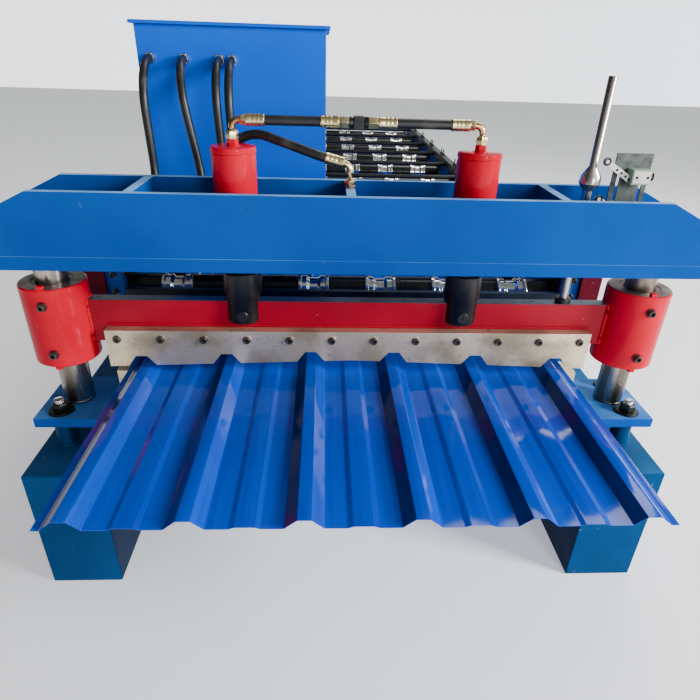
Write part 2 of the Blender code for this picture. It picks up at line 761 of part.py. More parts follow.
def cylinders():
    bottom = CROWN_FLOOR_TOP + TOUCH
    bore = ROD_RADIUS + RUNNING
    profile = [
        (0.0, CAP_TOP_Z - CAP_THICKNESS),
        (bore, CAP_TOP_Z - CAP_THICKNESS),
        (bore, bottom),
        (BARREL_RADIUS, bottom),
        (BARREL_RADIUS, CAP_TOP_Z),
        (NECK_RADIUS, CAP_TOP_Z),
        (NECK_RADIUS, CAP_TOP_Z + NECK_HEIGHT),
        (0.0, CAP_TOP_Z + NECK_HEIGHT),
    ]
    for side, name in ((-1, "left"), (1, "right")):
        made = turned(f"hydraulic_cylinder_{name}", profile, RED, 20)
        made.location = (side * CYLINDER_X, 0.0, 0.0)


def lower_die():
    """The bar under the sheet, with a ridge that stands in each rib."""
    top = PASS_Z - SHEET_THICKNESS - 2 * TOUCH
    half = KNIFE_LENGTH / 2
    bottom = PLATE_TOP_Z + TOUCH
    points = [(-half, bottom), (half, bottom), (half, top)]
    rise = RIB_HEIGHT - 2 * SHEET_THICKNESS
    foot = RIB_BASE / 2 - 3 * SHEET_THICKNESS
    crest = RIB_CREST / 2 - 2 * SHEET_THICKNESS
    for x in reversed(rib_places()):
        points += [(x + foot, top), (x + crest, top + rise), (x - crest, top + rise), (x - foot, top)]
    points.append((-half, top))
    die = outline_plate("lower_die", points, DIE_DEPTH, TOOL_STEEL)
    die.location = (0.0, DIE_Y, 0.0)


def trip_rod():
    """The rod that stands on the knife beam, passes the crown and works the limit switches."""
    foot = BEAM_PLATE_TOP_Z + TOUCH
    profile = [
        (0.0, foot),
        (TRIP_RADIUS, foot),
        (TRIP_RADIUS, CAM_BOTTOM_Z),
        (CAM_RADIUS, CAM_BOTTOM_Z + CAM_CONE),
        (CAM_RADIUS, CAM_BOTTOM_Z + CAM_CONE + CAM_LENGTH),
        (TRIP_RADIUS, CAM_BOTTOM_Z + 2 * CAM_CONE + CAM_LENGTH),
        (TRIP_RADIUS, TRIP_TOP_Z),
        (0.0, TRIP_TOP_Z),
    ]
    made = turned("trip_rod", profile, CHROME, 12)
    made.location = (TRIP_X, TRIP_Y, 0.0)


def limit_switches():
    """The slotted plate on the crown's floor, with the two switches that the trip rod's cam works."""
    right = SWITCH_PLATE_X + SWITCH_PLATE_WIDTH
    low = (SWITCH_PLATE_X, 0.0, CROWN_FLOOR_TOP + TOUCH)
    plate = box("limit_switches", low, (right, SWITCH_PLATE_THICKNESS, SWITCH_PLATE_TOP_Z), BLACK_STEEL)
    for index, z in enumerate(SWITCH_ZS):
        left = right - SWITCH_LENGTH
        body_low = (left, -SWITCH_DEPTH, z - SWITCH_HEIGHT / 2)
        body_high = (right, SWITCH_PLATE_THICKNESS / 2, z + SWITCH_HEIGHT / 2)
        unite(plate, box(f"switch_body_{index}", body_low, body_high))
        pivot = Vector((left + SWITCH_ARM_WIDTH / 2, 0.0, z))
        tip = pivot + Vector((-SWITCH_ARM_REACH, 0.0, SWITCH_ARM_RISE))
        across = (tip - pivot).normalized().cross(Vector((0.0, 1.0, 0.0))) * SWITCH_ARM_WIDTH / 2
        corners = [tip - across, tip + across, pivot + across, pivot - across]
        arm = outline_plate(f"switch_arm_{index}", [(c.x, c.z) for c in corners], SWITCH_ARM_THICKNESS)
        arm.location = (0.0, -SWITCH_DEPTH - SWITCH_ARM_THICKNESS / 2 + TOUCH, 0.0)
        unite(plate, arm)
        width = 2 * SWITCH_ARM_THICKNESS
        start = (tip.x, -SWITCH_DEPTH - width, tip.z)
        unite(plate, rod(f"switch_roller_{index}", SWITCH_ROLLER_RADIUS, start, width, None, 10, "Y"))


def quarter_bend(centre, radius, start, steps=4):
    """Points of a quarter turn in X and Z about the centre, from the angle start and anticlockwise."""
    found = []
    for step in range(steps + 1):
        angle = start + math.pi / 2 * step / steps
        found.append((centre[0] + radius * math.cos(angle), centre[1], centre[2] + radius * math.sin(angle)))
    return found


def cap_hose_line():
    """The short hoses and fittings from one cylinder's cap to the other, through a tee."""
    foot = CAP_TOP_Z + NECK_HEIGHT + TOUCH
    bend = quarter_bend((CYLINDER_X - LINE_BEND, 0.0, LINE_Z - LINE_BEND), LINE_BEND, 0.0)
    hose_end = CYLINDER_X - LINE_BEND - CUT
    right = [((CYLINDER_X, 0.0, foot), TUBE_RADIUS)] + [(point, TUBE_RADIUS) for point in bend]
    for x, radius in (
        (hose_end, TUBE_RADIUS),
        (hose_end, FERRULE_RADIUS),
        (hose_end - FERRULE_LENGTH, FERRULE_RADIUS),
        (hose_end - FERRULE_LENGTH, HOSE_RADIUS),
        (HOSE_NUT_HALF + FERRULE_LENGTH, HOSE_RADIUS),
        (HOSE_NUT_HALF + FERRULE_LENGTH, FERRULE_RADIUS),
        (TEE_HALF, FERRULE_RADIUS),
        (TEE_HALF, TEE_RADIUS),
    ):
        right.append(((x, 0.0, LINE_Z), radius))
    left = [((-point[0], point[1], point[2]), radius) for point, radius in reversed(right)]
    swept("cap_hose_line", right + left, BRASS, 10)


def lower_port_line():
    """The hose that comes down behind the left cylinder, and its fitting on the crown's middle rib."""
    foot_x = CROWN_RIB_SHIFT
    start, end = Vector(LOWER_HOSE_END), Vector(LOWER_FERRULE_END)
    ahead = (end - start).normalized()
    foot = CROWN_TOP_Z + TOUCH
    nut_top = foot + FERRULE_RADIUS
    bend_top = Vector((foot_x - TUBE_RADIUS / 2, 0.0, end.z - TUBE_RADIUS))
    route = [
        (start, FERRULE_RADIUS),
        (end, FERRULE_RADIUS),
        (end, TUBE_RADIUS),
        (bend_top, TUBE_RADIUS),
        (Vector((foot_x, 0.0, bend_top.z - TUBE_RADIUS)), TUBE_RADIUS),
        (Vector((foot_x, 0.0, nut_top)), TUBE_RADIUS),
        (Vector((foot_x, 0.0, nut_top)), FERRULE_RADIUS),
        (Vector((foot_x, 0.0, foot)), FERRULE_RADIUS),
    ]
    swept("lower_port_fitting", route, BRASS, 10)
    route = lower_hose_route(start - ahead * (TOUCH + HOSE_RADIUS), ahead)
    hose("lower_port_hose", [*route, start - ahead * TOUCH])


def lower_hose_route(end, ahead):
    """Up from the port on the crown's floor, over in a wide bend and down to the fitting."""
    foot_x, foot_y = LOWER_PORT
    low_z = LOWER_PORT_TOP_Z + TOUCH
    fall = -ahead.z / ahead.x
    turn = math.pi / 2 + math.atan(fall)
    angles = [turn * step / (2 * HOSE_STEPS) for step in range(2 * HOSE_STEPS + 1)]
    bend = [(1.0 - math.cos(angle), math.sin(angle)) for angle in angles]
    reach = math.hypot(end.x - foot_x, end.y - foot_y)
    drop = (reach - LOWER_HOSE_BEND * bend[-1][0]) * fall
    bend_z = end.z + drop - LOWER_HOSE_BEND * bend[-1][1]
    points = [(0.0, low_z)] + [(LOWER_HOSE_BEND * a, bend_z + LOWER_HOSE_BEND * b) for a, b in bend]
    points.append((reach, end.z))
    route = []
    for along, z in points:
        share = along / reach
        y = foot_y + (end.y - foot_y) * blend(share ** LOWER_HOSE_LAG)
        route.append((foot_x + (end.x - foot_x) * share, y, z))
    return route


def tank_hose_route(top_x, end_x):
    """Out of the tank's port, down in front of it, and back into the crown's port."""
    start_y = TANK_FRONT_Y - PORT_LENGTH - TOUCH
    end_y = CROWN_DEPTH / 2 + CROWN_PORT_LENGTH + TOUCH
    top_bend = start_y - HOSE_STUB - HOSE_HANG_Y
    low_bend = HOSE_HANG_Y - end_y - HOSE_STUB
    angles = [math.pi / 2 * step / HOSE_STEPS for step in range(HOSE_STEPS + 1)]
    points = [(start_y, TANK_PORT_Z)]
    for angle in angles:
        y = HOSE_HANG_Y + top_bend * (1.0 - math.sin(angle))
        points.append((y, TANK_PORT_Z - top_bend * (1.0 - math.cos(angle))))
    for angle in angles:
        y = HOSE_HANG_Y - low_bend * (1.0 - math.cos(angle))
        points.append((y, CROWN_PORT_Z + low_bend * (1.0 - math.sin(angle))))
    points.append((end_y, CROWN_PORT_Z))
    lengths = [0.0]
    for near, far in zip(points, points[1:]):
        lengths.append(lengths[-1] + math.dist(near, far))
    return [(top_x + (end_x - top_x) * blend(way / lengths[-1]), *p) for way, p in zip(lengths, points)]


def tank_hoses():
    for letter, top_x, end_x in TANK_HOSES:
        hose(f"tank_hose_{letter}", tank_hose_route(top_x, end_x))


def hydraulic_tank():
    low_x, high_x = TANK_X - TANK_WIDTH / 2, TANK_X + TANK_WIDTH / 2
    rear = TANK_FRONT_Y + TANK_LENGTH
    top = TANK_BOTTOM_Z + TANK_HEIGHT
    tank = box("tank_body", (low_x, TANK_FRONT_Y, TANK_BOTTOM_Z), (high_x, rear, top), BLUE)
    hollow = cutter_box(
        "tank_hollow",
        (low_x + TANK_WALL, TANK_FRONT_Y + TANK_WALL, TANK_BOTTOM_Z + TANK_WALL),
        (high_x - TANK_WALL, rear - TANK_WALL, top + CUT),
    )
    combine(tank, hollow)
    for letter, x, _ in TANK_HOSES:
        start = (x, TANK_FRONT_Y - PORT_LENGTH, TANK_PORT_Z)
        length = PORT_LENGTH + TANK_WALL / 2
        unite(tank, rod(f"tank_port_{letter}", FERRULE_RADIUS, start, length, None, 8, "Y"))
    box(
        "tank_lid",
        (low_x - LID_MARGIN, TANK_FRONT_Y - LID_MARGIN, top + TOUCH),
        (high_x + LID_MARGIN, rear + LID_MARGIN, top + TOUCH + LID_THICKNESS),
        BLUE,
    )
    for shift, name in zip(BRIDGE_SHIFTS, ("front", "rear")):
        bridge(name, TANK_FRONT_Y + shift)


def bridge(name, y):
    """A channel across the side walls that carries the tank."""
    half = WALL_X + WALL_THICKNESS / 2
    top = TANK_BOTTOM_Z - TOUCH
    foot = WALL_TOP_Z + STRIP_THICKNESS + 2 * TOUCH
    points = [
        (-half, foot),
        (-half + WALL_THICKNESS, foot),
        (-half + WALL_THICKNESS, top - BRIDGE_HEIGHT),
        (half - WALL_THICKNESS, top - BRIDGE_HEIGHT),
        (half - WALL_THICKNESS, foot),
        (half, foot),
        (half, top),
        (-half, top),
    ]
    made = outline_plate(f"tank_bridge_{name}", points, BRIDGE_DEPTH, BLUE)
    made.location = (0.0, y, 0.0)


def build():
    formed_sheet()
    base_frame()
    side_walls()
    tie_frame()
    exit_guide_bar()
    upper_shafts()
    lower_roll_bank()
    shear_base()
    guide_posts()
    lower_die()
    knife_carriage()
    crown()
    cylinders()
    trip_rod()
    limit_switches()
    cap_hose_line()
    hydraulic_tank()
    tank_hoses()
    lower_port_line()


build()
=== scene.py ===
"""Looks of the roll forming machine: camera, studio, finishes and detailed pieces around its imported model."""

import logging
import math
from dataclasses import dataclass
from enum import Enum

import bmesh
import bpy
from mathutils import Matrix, Vector

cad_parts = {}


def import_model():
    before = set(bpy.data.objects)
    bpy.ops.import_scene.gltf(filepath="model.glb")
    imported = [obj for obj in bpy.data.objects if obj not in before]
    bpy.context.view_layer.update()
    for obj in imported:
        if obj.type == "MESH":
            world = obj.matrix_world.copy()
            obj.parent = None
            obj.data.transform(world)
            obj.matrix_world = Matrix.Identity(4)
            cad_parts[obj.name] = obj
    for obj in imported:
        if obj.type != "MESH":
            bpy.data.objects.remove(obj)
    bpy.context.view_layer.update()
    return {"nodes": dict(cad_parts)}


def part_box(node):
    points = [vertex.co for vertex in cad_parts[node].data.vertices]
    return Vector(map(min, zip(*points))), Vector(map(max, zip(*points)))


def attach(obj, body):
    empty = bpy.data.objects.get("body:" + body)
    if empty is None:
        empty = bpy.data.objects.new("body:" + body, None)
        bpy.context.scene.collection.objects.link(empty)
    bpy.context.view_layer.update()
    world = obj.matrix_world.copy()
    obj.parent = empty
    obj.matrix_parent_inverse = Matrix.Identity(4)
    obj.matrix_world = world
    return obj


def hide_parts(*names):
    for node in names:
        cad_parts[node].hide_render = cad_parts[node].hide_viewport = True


LOG = logging.getLogger("roll_forming_machine")

Point = tuple[float, float, float]
Pair = tuple[float, float]
Triple = tuple[float, float, float]
Colour = tuple[float, float, float]
Screen = tuple[int, int, int]
Profile = list[tuple[float, ...]]

FRONT: Point = (0.0, -1.0, 0.0)
REAR: Point = (0.0, 1.0, 0.0)
ASIDE: Point = (1.0, 0.0, 0.0)
UPWARD: Point = (0.0, 0.0, 1.0)

RIB_PITCH = 0.2
RIBS = [(index - 2.5) * RIB_PITCH for index in range(6)]
STATIONS = [0.385 + 0.4 * index for index in range(10)]
SIDES = ((-1, "left"), (1, "right"))
# The hair between two pieces that rest on each other.
TOUCH = 0.0003
# Both ends of the lower port's ferrule, from its hose to its elbow.
LOWER_FERRULE: tuple[Point, Point] = ((-0.068, 0.0, 1.033), (-0.029, 0.0, 1.023))


def tint(colour: Screen) -> Colour:
    """The linear values of a colour given as it shows on a screen, from 0 to 255."""
    shares = [value / 255 for value in colour]
    linear = [s / 12.92 if s <= 0.04045 else ((s + 0.055) / 1.055) ** 2.4 for s in shares]
    return (linear[0], linear[1], linear[2])


def mirrored(side: int, low: Point, high: Point) -> tuple[Point, Point]:
    """Two corners on the right as they are, or their mirror image where the side is -1."""
    near, far = sorted((side * low[0], side * high[0]))
    return (near, low[1], low[2]), (far, high[1], high[2])


class Body(Enum):
    """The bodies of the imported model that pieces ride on."""

    FRAME = "root"
    CARRIAGE = "knife_carriage"


class Slot(Enum):
    """Material slot names, which the finishes carry."""

    BLUE = "blue_enamel"
    RED = "red_enamel"
    SHEET = "blue_sheet"
    CHROME = "chromed_steel"
    TOOL = "tool_steel"
    BLACK = "black_steel"
    BRASS = "brass"
    RUBBER = "hose_rubber"


@dataclass(frozen=True)
class Shade:
    """A socket that takes part in sums and products: each adds its Math node."""

    graph: "Graph"
    socket: bpy.types.NodeSocket

    def __add__(self, other: "Shade | float") -> "Shade":
        """The sum."""
        return self.graph.maths("ADD", self, other)

    def __radd__(self, other: float) -> "Shade":
        """The sum, the other way round."""
        return self.graph.maths("ADD", other, self)

    def __sub__(self, other: "Shade | float") -> "Shade":
        """The difference."""
        return self.graph.maths("SUBTRACT", self, other)

    def __rsub__(self, other: float) -> "Shade":
        """The difference, the other way round."""
        return self.graph.maths("SUBTRACT", other, self)

    def __mul__(self, other: "Shade | float") -> "Shade":
        """The product."""
        return self.graph.maths("MULTIPLY", self, other)

    def __rmul__(self, other: float) -> "Shade":
        """The product, the other way round."""
        return self.graph.maths("MULTIPLY", other, self)

    def __abs__(self) -> "Shade":
        """The size without its sign."""
        return self.graph.maths("ABSOLUTE", self)


class Graph:
    """The node tree of one material or world, with its shader."""

    def __init__(
        self, owner: bpy.types.Material | bpy.types.World, shader: str = "Principled BSDF"
    ) -> None:
        """Starts from the owner's first shader.

        Args:
            owner: The material or world.
            shader: The name of its shader's node.
        """
        owner.use_nodes = True
        self.owner = owner
        self.tree = owner.node_tree
        self.shader = self.tree.nodes[shader]

    def join(self, socket: bpy.types.NodeSocket, value: object) -> None:
        """Links a shade to a socket, or sets the socket's own value."""
        if isinstance(value, Shade):
            self.tree.links.new(value.socket, socket)
        elif socket.type == "RGBA":
            socket.default_value = (*value, 1.0)
        else:
            socket.default_value = value

    def node(
        self, kind: str, settings: dict[str, object], sockets: dict[str | int, object]
    ) -> bpy.types.Node:
        """Adds a node.

        Args:
            kind: The node's type.
            settings: Its settings, which are set first.
            sockets: The values or shades of its sockets.

        Returns:
            The new node.
        """
        made = self.tree.nodes.new(kind)
        for key, value in settings.items():
            setattr(made, key, value)
        for key, value in sockets.items():
            self.join(made.inputs[key], value)
        return made

    def maths(self, operation: str, *values: "Shade | float") -> Shade:
        """A Math node on values or shades."""
        made = self.node("ShaderNodeMath", {"operation": operation}, dict(enumerate(values)))
        return Shade(self, made.outputs[0])

    def place(self, output: str = "Object") -> Shade:
        """The place on the piece, in metres, which moves with it."""
        return Shade(self, self.node("ShaderNodeTexCoord", {}, {}).outputs[output])

    def part_of(self, vector: Shade, axis: str) -> Shade:
        """One component of a vector."""
        return Shade(self, self.node("ShaderNodeSeparateXYZ", {}, {0: vector}).outputs[axis])

    def facing(self, axis: str) -> Shade:
        """One component of the surface's normal."""
        normal = Shade(self, self.node("ShaderNodeNewGeometry", {}, {}).outputs["Normal"])
        return self.part_of(normal, axis)

    def noise(
        self, scale: float, detail: float = 3.0, stretch: Point = (1.0, 1.0, 1.0), shift: float = 0.0
    ) -> Shade:
        """Cloudy noise about one half.

        Args:
            scale: Clouds per metre.
            detail: Octaves.
            stretch: How much finer it is along each axis.
            shift: Moves the pattern, so that two of them differ.

        Returns:
            The noise as a number.
        """
        sockets = {"Vector": self.place(), "Location": (shift, shift, shift), "Scale": stretch}
        mapped = Shade(self, self.node("ShaderNodeMapping", {}, sockets).outputs[0])
        made = self.node("ShaderNodeTexNoise", {}, {"Vector": mapped, "Scale": scale, "Detail": detail})
        return Shade(self, made.outputs[0])

    def rise(self, value: Shade, low: float, high: float, least: float = 0.0, most: float = 1.0) -> Shade:
        """A smooth rise from least to most as the value goes from low to high."""
        sockets = {"Value": value, "From Min": low, "From Max": high, "To Min": least, "To Max": most}
        made = self.node("ShaderNodeMapRange", {"interpolation_type": "SMOOTHSTEP"}, sockets)
        return Shade(self, made.outputs[0])

    def mix(self, mask: Shade, first: Shade | Colour, second: Shade | Colour) -> Shade:
        """A mix of two colours: the second where the mask is one."""
        made = self.node("ShaderNodeMix", {"data_type": "RGBA"}, {0: mask, 6: first, 7: second})
        return Shade(self, made.outputs[2])

    def scaled(self, colour: Shade | Colour, factor: Shade) -> Shade:
        """A colour times a number."""
        made = self.node("ShaderNodeVectorMath", {"operation": "SCALE"}, {0: colour, "Scale": factor})
        return Shade(self, made.outputs[0])

    def bump(self, height: Shade, strength: float, distance: float) -> None:
        """Feeds the shader's normal with a relief."""
        sockets = {"Height": height, "Strength": strength, "Distance": distance}
        made = self.node("ShaderNodeBump", {}, sockets)
        self.join(self.shader.inputs["Normal"], Shade(self, made.outputs[0]))

    def dress(self, sockets: dict[str, object]) -> bpy.types.Material:
        """Sets the shader's sockets.

        Args:
            sockets: Values or shades by the socket's name.

        Returns:
            The finished material.
        """
        for key, value in sockets.items():
            self.join(self.shader.inputs[key], value)
        return self.owner


@dataclass(frozen=True)
class Enamel:
    """Gloss paint on steel, with dust and a painted highlight on what faces up, grime, chips and a faint orange
    peel; where inner is set, painted shade on the faces that look inward.
    """

    name: str
    colour: Screen
    deep: Screen
    # The colour that upward faces take: partly dust, partly a painted highlight.
    dust_and_top_light: Screen
    roughness: float = 0.36
    dust_and_top_light_amount: float = 0.30
    grimy: float = 0.10
    chips: float = 0.35
    gloss: float = 0.03
    coat: float = 0.0
    # How much painted shade darkens the faces that look inward, towards x = 0.
    inner: float = 0.0
    grime: Screen = (30, 34, 36)
    bare: Screen = (132, 150, 160)
    slot: Slot = Slot.BLUE

    def make(self) -> bpy.types.Material:
        """Builds the material."""
        g = Graph(bpy.data.materials.new(self.name))
        clouds = g.noise(4.0, 5.0)
        fine = g.noise(46.0, 6.0, shift=3.0)
        colour = g.mix(g.rise(clouds, 0.3, 0.7), tint(self.colour), tint(self.deep))
        # Upward faces turn paler: partly dust, partly a painted highlight of the light from above.
        upward = g.rise(g.facing("Z"), 0.55, 0.98)
        dust_and_top_light = upward * g.rise(g.noise(9.0, 6.0, shift=7.0), 0.3, 0.75, 0.55, 1.0) * self.dust_and_top_light_amount
        colour = g.mix(dust_and_top_light, colour, tint(self.dust_and_top_light))
        streaks = g.rise(g.noise(16.0, 6.0, (1.0, 1.0, 0.25), 11.0), 0.56, 0.80)
        colour = g.mix(streaks * self.grimy, colour, tint(self.grime))
        chips = g.rise(fine * 0.75 + g.noise(7.0, 2.0, shift=17.0) * 0.25, 0.672, 0.684) * self.chips
        colour = g.mix(chips, colour, tint(self.bare))
        # Painted shade: faces that look inward, towards x = 0, are darkened.
        if self.inner:
            inward = g.rise(g.facing("X") * g.part_of(g.place(), "X"), -0.30, -0.55)
            colour = g.scaled(colour, 1.0 - inward * self.inner)
        rough = self.roughness + (clouds - 0.5) * 0.12 + dust_and_top_light * 0.2 + streaks * self.grimy * 0.5 + chips * 0.3
        g.bump(g.noise(420.0, 2.0) * 0.5 + fine * 0.8 - chips * 0.6, 0.20, 0.0006)
        sockets = {"Base Color": colour, "Roughness": rough, "Specular IOR Level": self.gloss}
        return g.dress(sockets | {"Coat Weight": self.coat, "Coat Roughness": 0.04})


@dataclass(frozen=True)
class Steel:
    """Bare, chromed or blackened metal, with stains, streaks and fine tool marks; on the hard chrome the brown
    vertical streaks are also a painted reflection.
    """

    name: str
    colour: Screen
    # The colour of the blotches and specks: stains, and on the hard chrome also painted reflections.
    stain_and_reflection: Screen
    roughness: float
    metallic: float = 1.0
    stain_and_reflection_amount: float = 0.5
    spot: float = 14.0
    grain: Point = (1.0, 1.0, 1.0)
    relief: float = 0.12
    specks: float = 0.7
    slot: Slot = Slot.TOOL

    def make(self) -> bpy.types.Material:
        """Builds the material."""
        g = Graph(bpy.data.materials.new(self.name))
        blotches = g.rise(g.noise(self.spot, 7.0, self.grain), 0.42, 0.68) * self.stain_and_reflection_amount
        specks = g.rise(g.noise(self.spot * 11.0, 3.0, self.grain, 5.0), 0.60, 0.72) * self.stain_and_reflection_amount
        colour = g.mix(blotches, tint(self.colour), tint(self.stain_and_reflection))
        colour = g.mix(specks * self.specks, colour, tint(self.stain_and_reflection))
        marks = g.noise(260.0, 2.0, self.grain, 9.0)
        rough = self.roughness + blotches * 0.16 + specks * 0.1 + (marks - 0.5) * 0.08
        g.bump(marks * 0.6 + blotches * 0.4, self.relief, 0.0005)
        return g.dress({"Base Color": colour, "Roughness": rough, "Metallic": self.metallic})


@dataclass(frozen=True)
class Moulded:
    """Rubber or plastic: dull, with a fine skin and pale scuffs."""

    name: str
    colour: Screen
    scuff: Screen
    roughness: float = 0.5
    scuffed: float = 0.4
    slot: Slot = Slot.RUBBER

    def make(self) -> bpy.types.Material:
        """Builds the material."""
        g = Graph(bpy.data.materials.new(self.name))
        scuffs = g.rise(g.noise(24.0, 8.0), 0.52, 0.74) * self.scuffed
        colour = g.mix(scuffs, tint(self.colour), tint(self.scuff))
        skin = g.noise(700.0, 2.0)
        g.bump(skin + scuffs, 0.25, 0.0003)
        rough = self.roughness + scuffs * 0.25 + (skin - 0.5) * 0.08
        return g.dress({"Base Color": colour, "Roughness": rough})


@dataclass(frozen=True)
class SheetCoat:
    """The bright coil coating of the roofing sheet, with faint smudges and drawing marks along it, and painted
    shade on the flanks that face left.
    """

    name: str = "sheet_coating"
    colour: Screen = (0, 70, 186)
    deep: Screen = (0, 60, 168)
    smudge: Screen = (40, 92, 168)
    # How much painted shade darkens the flanks that face left.
    shaded: float = 0.55
    slot: Slot = Slot.SHEET

    def make(self) -> bpy.types.Material:
        """Builds the material."""
        g = Graph(bpy.data.materials.new(self.name))
        drawn = g.noise(60.0, 4.0, (1.0, 0.03, 1.0))
        clouds = g.rise(g.noise(5.0, 4.0, (1.0, 0.6, 1.0), 4.0), 0.50, 0.72)
        prints = g.rise(g.noise(26.0, 3.0, shift=8.0), 0.66, 0.74)
        colour = g.mix(g.rise(drawn, 0.35, 0.7), tint(self.colour), tint(self.deep))
        colour = g.mix(clouds * 0.22 + prints * 0.10, colour, tint(self.smudge))
        # Painted shade: faces whose normal points left are darkened.
        colour = g.scaled(colour, 1.0 - g.rise(g.facing("X"), -0.30, -0.55) * self.shaded)
        rough = 0.06 + clouds * 0.06 + prints * 0.08 + drawn * 0.03
        g.bump(g.noise(7.0, 3.0, shift=2.0) * 2.0 + drawn * 0.1, 0.10, 0.002)
        return g.dress({"Base Color": colour, "Roughness": rough, "Specular IOR Level": 0.20})


@dataclass(frozen=True)
class Ground:
    """The plain pale floor."""

    name: str = "studio_floor"

    def make(self) -> bpy.types.Material:
        """Builds the material."""
        g = Graph(bpy.data.materials.new(self.name))
        colour = g.mix(g.noise(1.5, 3.0), tint((240, 240, 240)), tint((246, 246, 246)))
        lit = {"Emission Color": colour, "Emission Strength": 0.45}
        return g.dress({"Base Color": colour, "Roughness": 0.8, "Specular IOR Level": 0.1} | lit)


Finish = Enamel | Steel | Moulded | SheetCoat | Ground

BLUE = Enamel("machine_blue", (0, 74, 164), (0, 68, 152), (96, 166, 232), dust_and_top_light_amount=0.6, chips=0.2)
CROWN_BLUE = Enamel("crown_blue", (0, 72, 154), (0, 65, 142), (140, 192, 240), dust_and_top_light_amount=0.9, chips=0.12)
# The legs' and stub pipes' paint is a darker copy of the machine blue, which paints shade on them; inner=0.72
# paints more shade on the legs' faces that look inward.
SHADED_LEG_BLUE = Enamel(
    "leg_shaded_blue", (0, 66, 116), (0, 54, 98), (72, 140, 190), dust_and_top_light_amount=0.35, chips=0.4, inner=0.72
)
# The exit guide bar's paint is a near-black copy of the machine blue: painted shade.
SHADED_BAR_BLUE = Enamel("guide_bar_shaded_blue", (0, 18, 42), (0, 12, 30), (60, 92, 130), dust_and_top_light_amount=0.22, gloss=0.3)
# The crown's front seam: a weld bead coloured pale, a painted highlight along the edge.
SEAM_HIGHLIGHT_BLUE = Enamel("seam_highlight_blue", (60, 130, 210), (20, 96, 190), (120, 170, 226))
# The tank's paint is a brighter copy of the machine blue: painted light on it.
LIT_TANK_BLUE = Enamel(
    "tank_lit_blue", (0, 92, 212), (0, 86, 202), (90, 150, 214), roughness=0.42, grimy=0.04, chips=0.06
)
RED = Enamel(
    "carriage_red", (210, 0, 42), (186, 0, 34), (220, 40, 60), roughness=0.16, dust_and_top_light_amount=0.04, grimy=0.06,
    chips=0.12, gloss=0.05, coat=0.10, slot=Slot.RED,
)
# The beam's red is a darker copy of the carriage red: painted shade under the crown. Its duller gloss is its
# own.
SHADED_BEAM_RED = Enamel(
    "beam_shaded_red", (160, 4, 34), (132, 0, 26), (180, 60, 66), roughness=0.32, dust_and_top_light_amount=0.1, grimy=0.16,
    chips=0.3, gloss=0.12, slot=Slot.RED,
)
# The side plates' red is a dark copy of the carriage red: painted shade.
SHADED_PLATE_RED = Enamel("side_plate_shaded_red", (96, 16, 34), (70, 12, 28), (120, 30, 40), chips=0.1, slot=Slot.RED)
# Its brown vertical streaks are partly stains and partly painted reflections.
CHROME = Steel(
    "hard_chrome", (186, 178, 168), (84, 66, 50), 0.25, stain_and_reflection_amount=0.8, spot=22.0, grain=(1.0, 1.0, 0.08),
    relief=0.06, slot=Slot.CHROME,
)
ROLLED = Steel(
    "roll_chrome", (226, 224, 218), (140, 132, 120), 0.13, stain_and_reflection_amount=0.25, relief=0.05, slot=Slot.CHROME
)
KNIFE = Steel(
    "knife_steel", (216, 200, 170), (112, 94, 72), 0.36, 0.8, 0.6, 9.0, grain=(1.0, 1.0, 1.5), specks=0.9
)
TURNED = Steel("turned_steel", (132, 114, 102), (58, 46, 38), 0.36, 0.8, 0.7, 24.0)
SCREW = Steel("screw_steel", (84, 76, 68), (34, 30, 28), 0.36, 0.7, 0.5, 90.0, slot=Slot.BLACK)
EDGE_STEEL = Steel("beam_edge_steel", (78, 90, 104), (34, 44, 56), 0.36, 0.8, 0.6, 16.0)
BLACKENED = Steel("black_oxide", (9, 10, 11), (40, 38, 35), 0.38, 0.2, 0.25, 40.0, slot=Slot.BLACK)
SPACER = Steel("dark_spacer_steel", (15, 16, 18), (46, 46, 46), 0.24, 0.3, 0.3, 18.0, slot=Slot.CHROME)
BRASS = Steel("yellow_passivated", (222, 204, 150), (160, 134, 84), 0.26, 1.0, 0.35, 60.0, slot=Slot.BRASS)
COPPER = Steel("bronze_elbow", (198, 150, 104), (120, 86, 56), 0.24, 1.0, 0.4, 60.0, slot=Slot.BRASS)
RUBBER = Moulded("hose_rubber", (22, 22, 21), (96, 90, 80), 0.42, 0.28)
SWITCH_CASE = Moulded("switch_case", (150, 176, 148), (104, 116, 96), 0.4, 0.5, Slot.BLACK)
SWITCH_WHITE = Moulded("switch_white", (222, 220, 212), (130, 128, 116), 0.4, 0.4, Slot.BLACK)
SWITCH_PLATE = Steel("switch_plate_steel", (86, 92, 88), (44, 48, 46), 0.5, 0.6, 0.6, 60.0, slot=Slot.BLACK)
SHEET = SheetCoat()

MADE: dict[str, bpy.types.Material] = {}


def material_of(finish: Finish) -> bpy.types.Material:
    """The material of a finish, built once."""
    if finish.name not in MADE:
        MADE[finish.name] = finish.make()
    return MADE[finish.name]


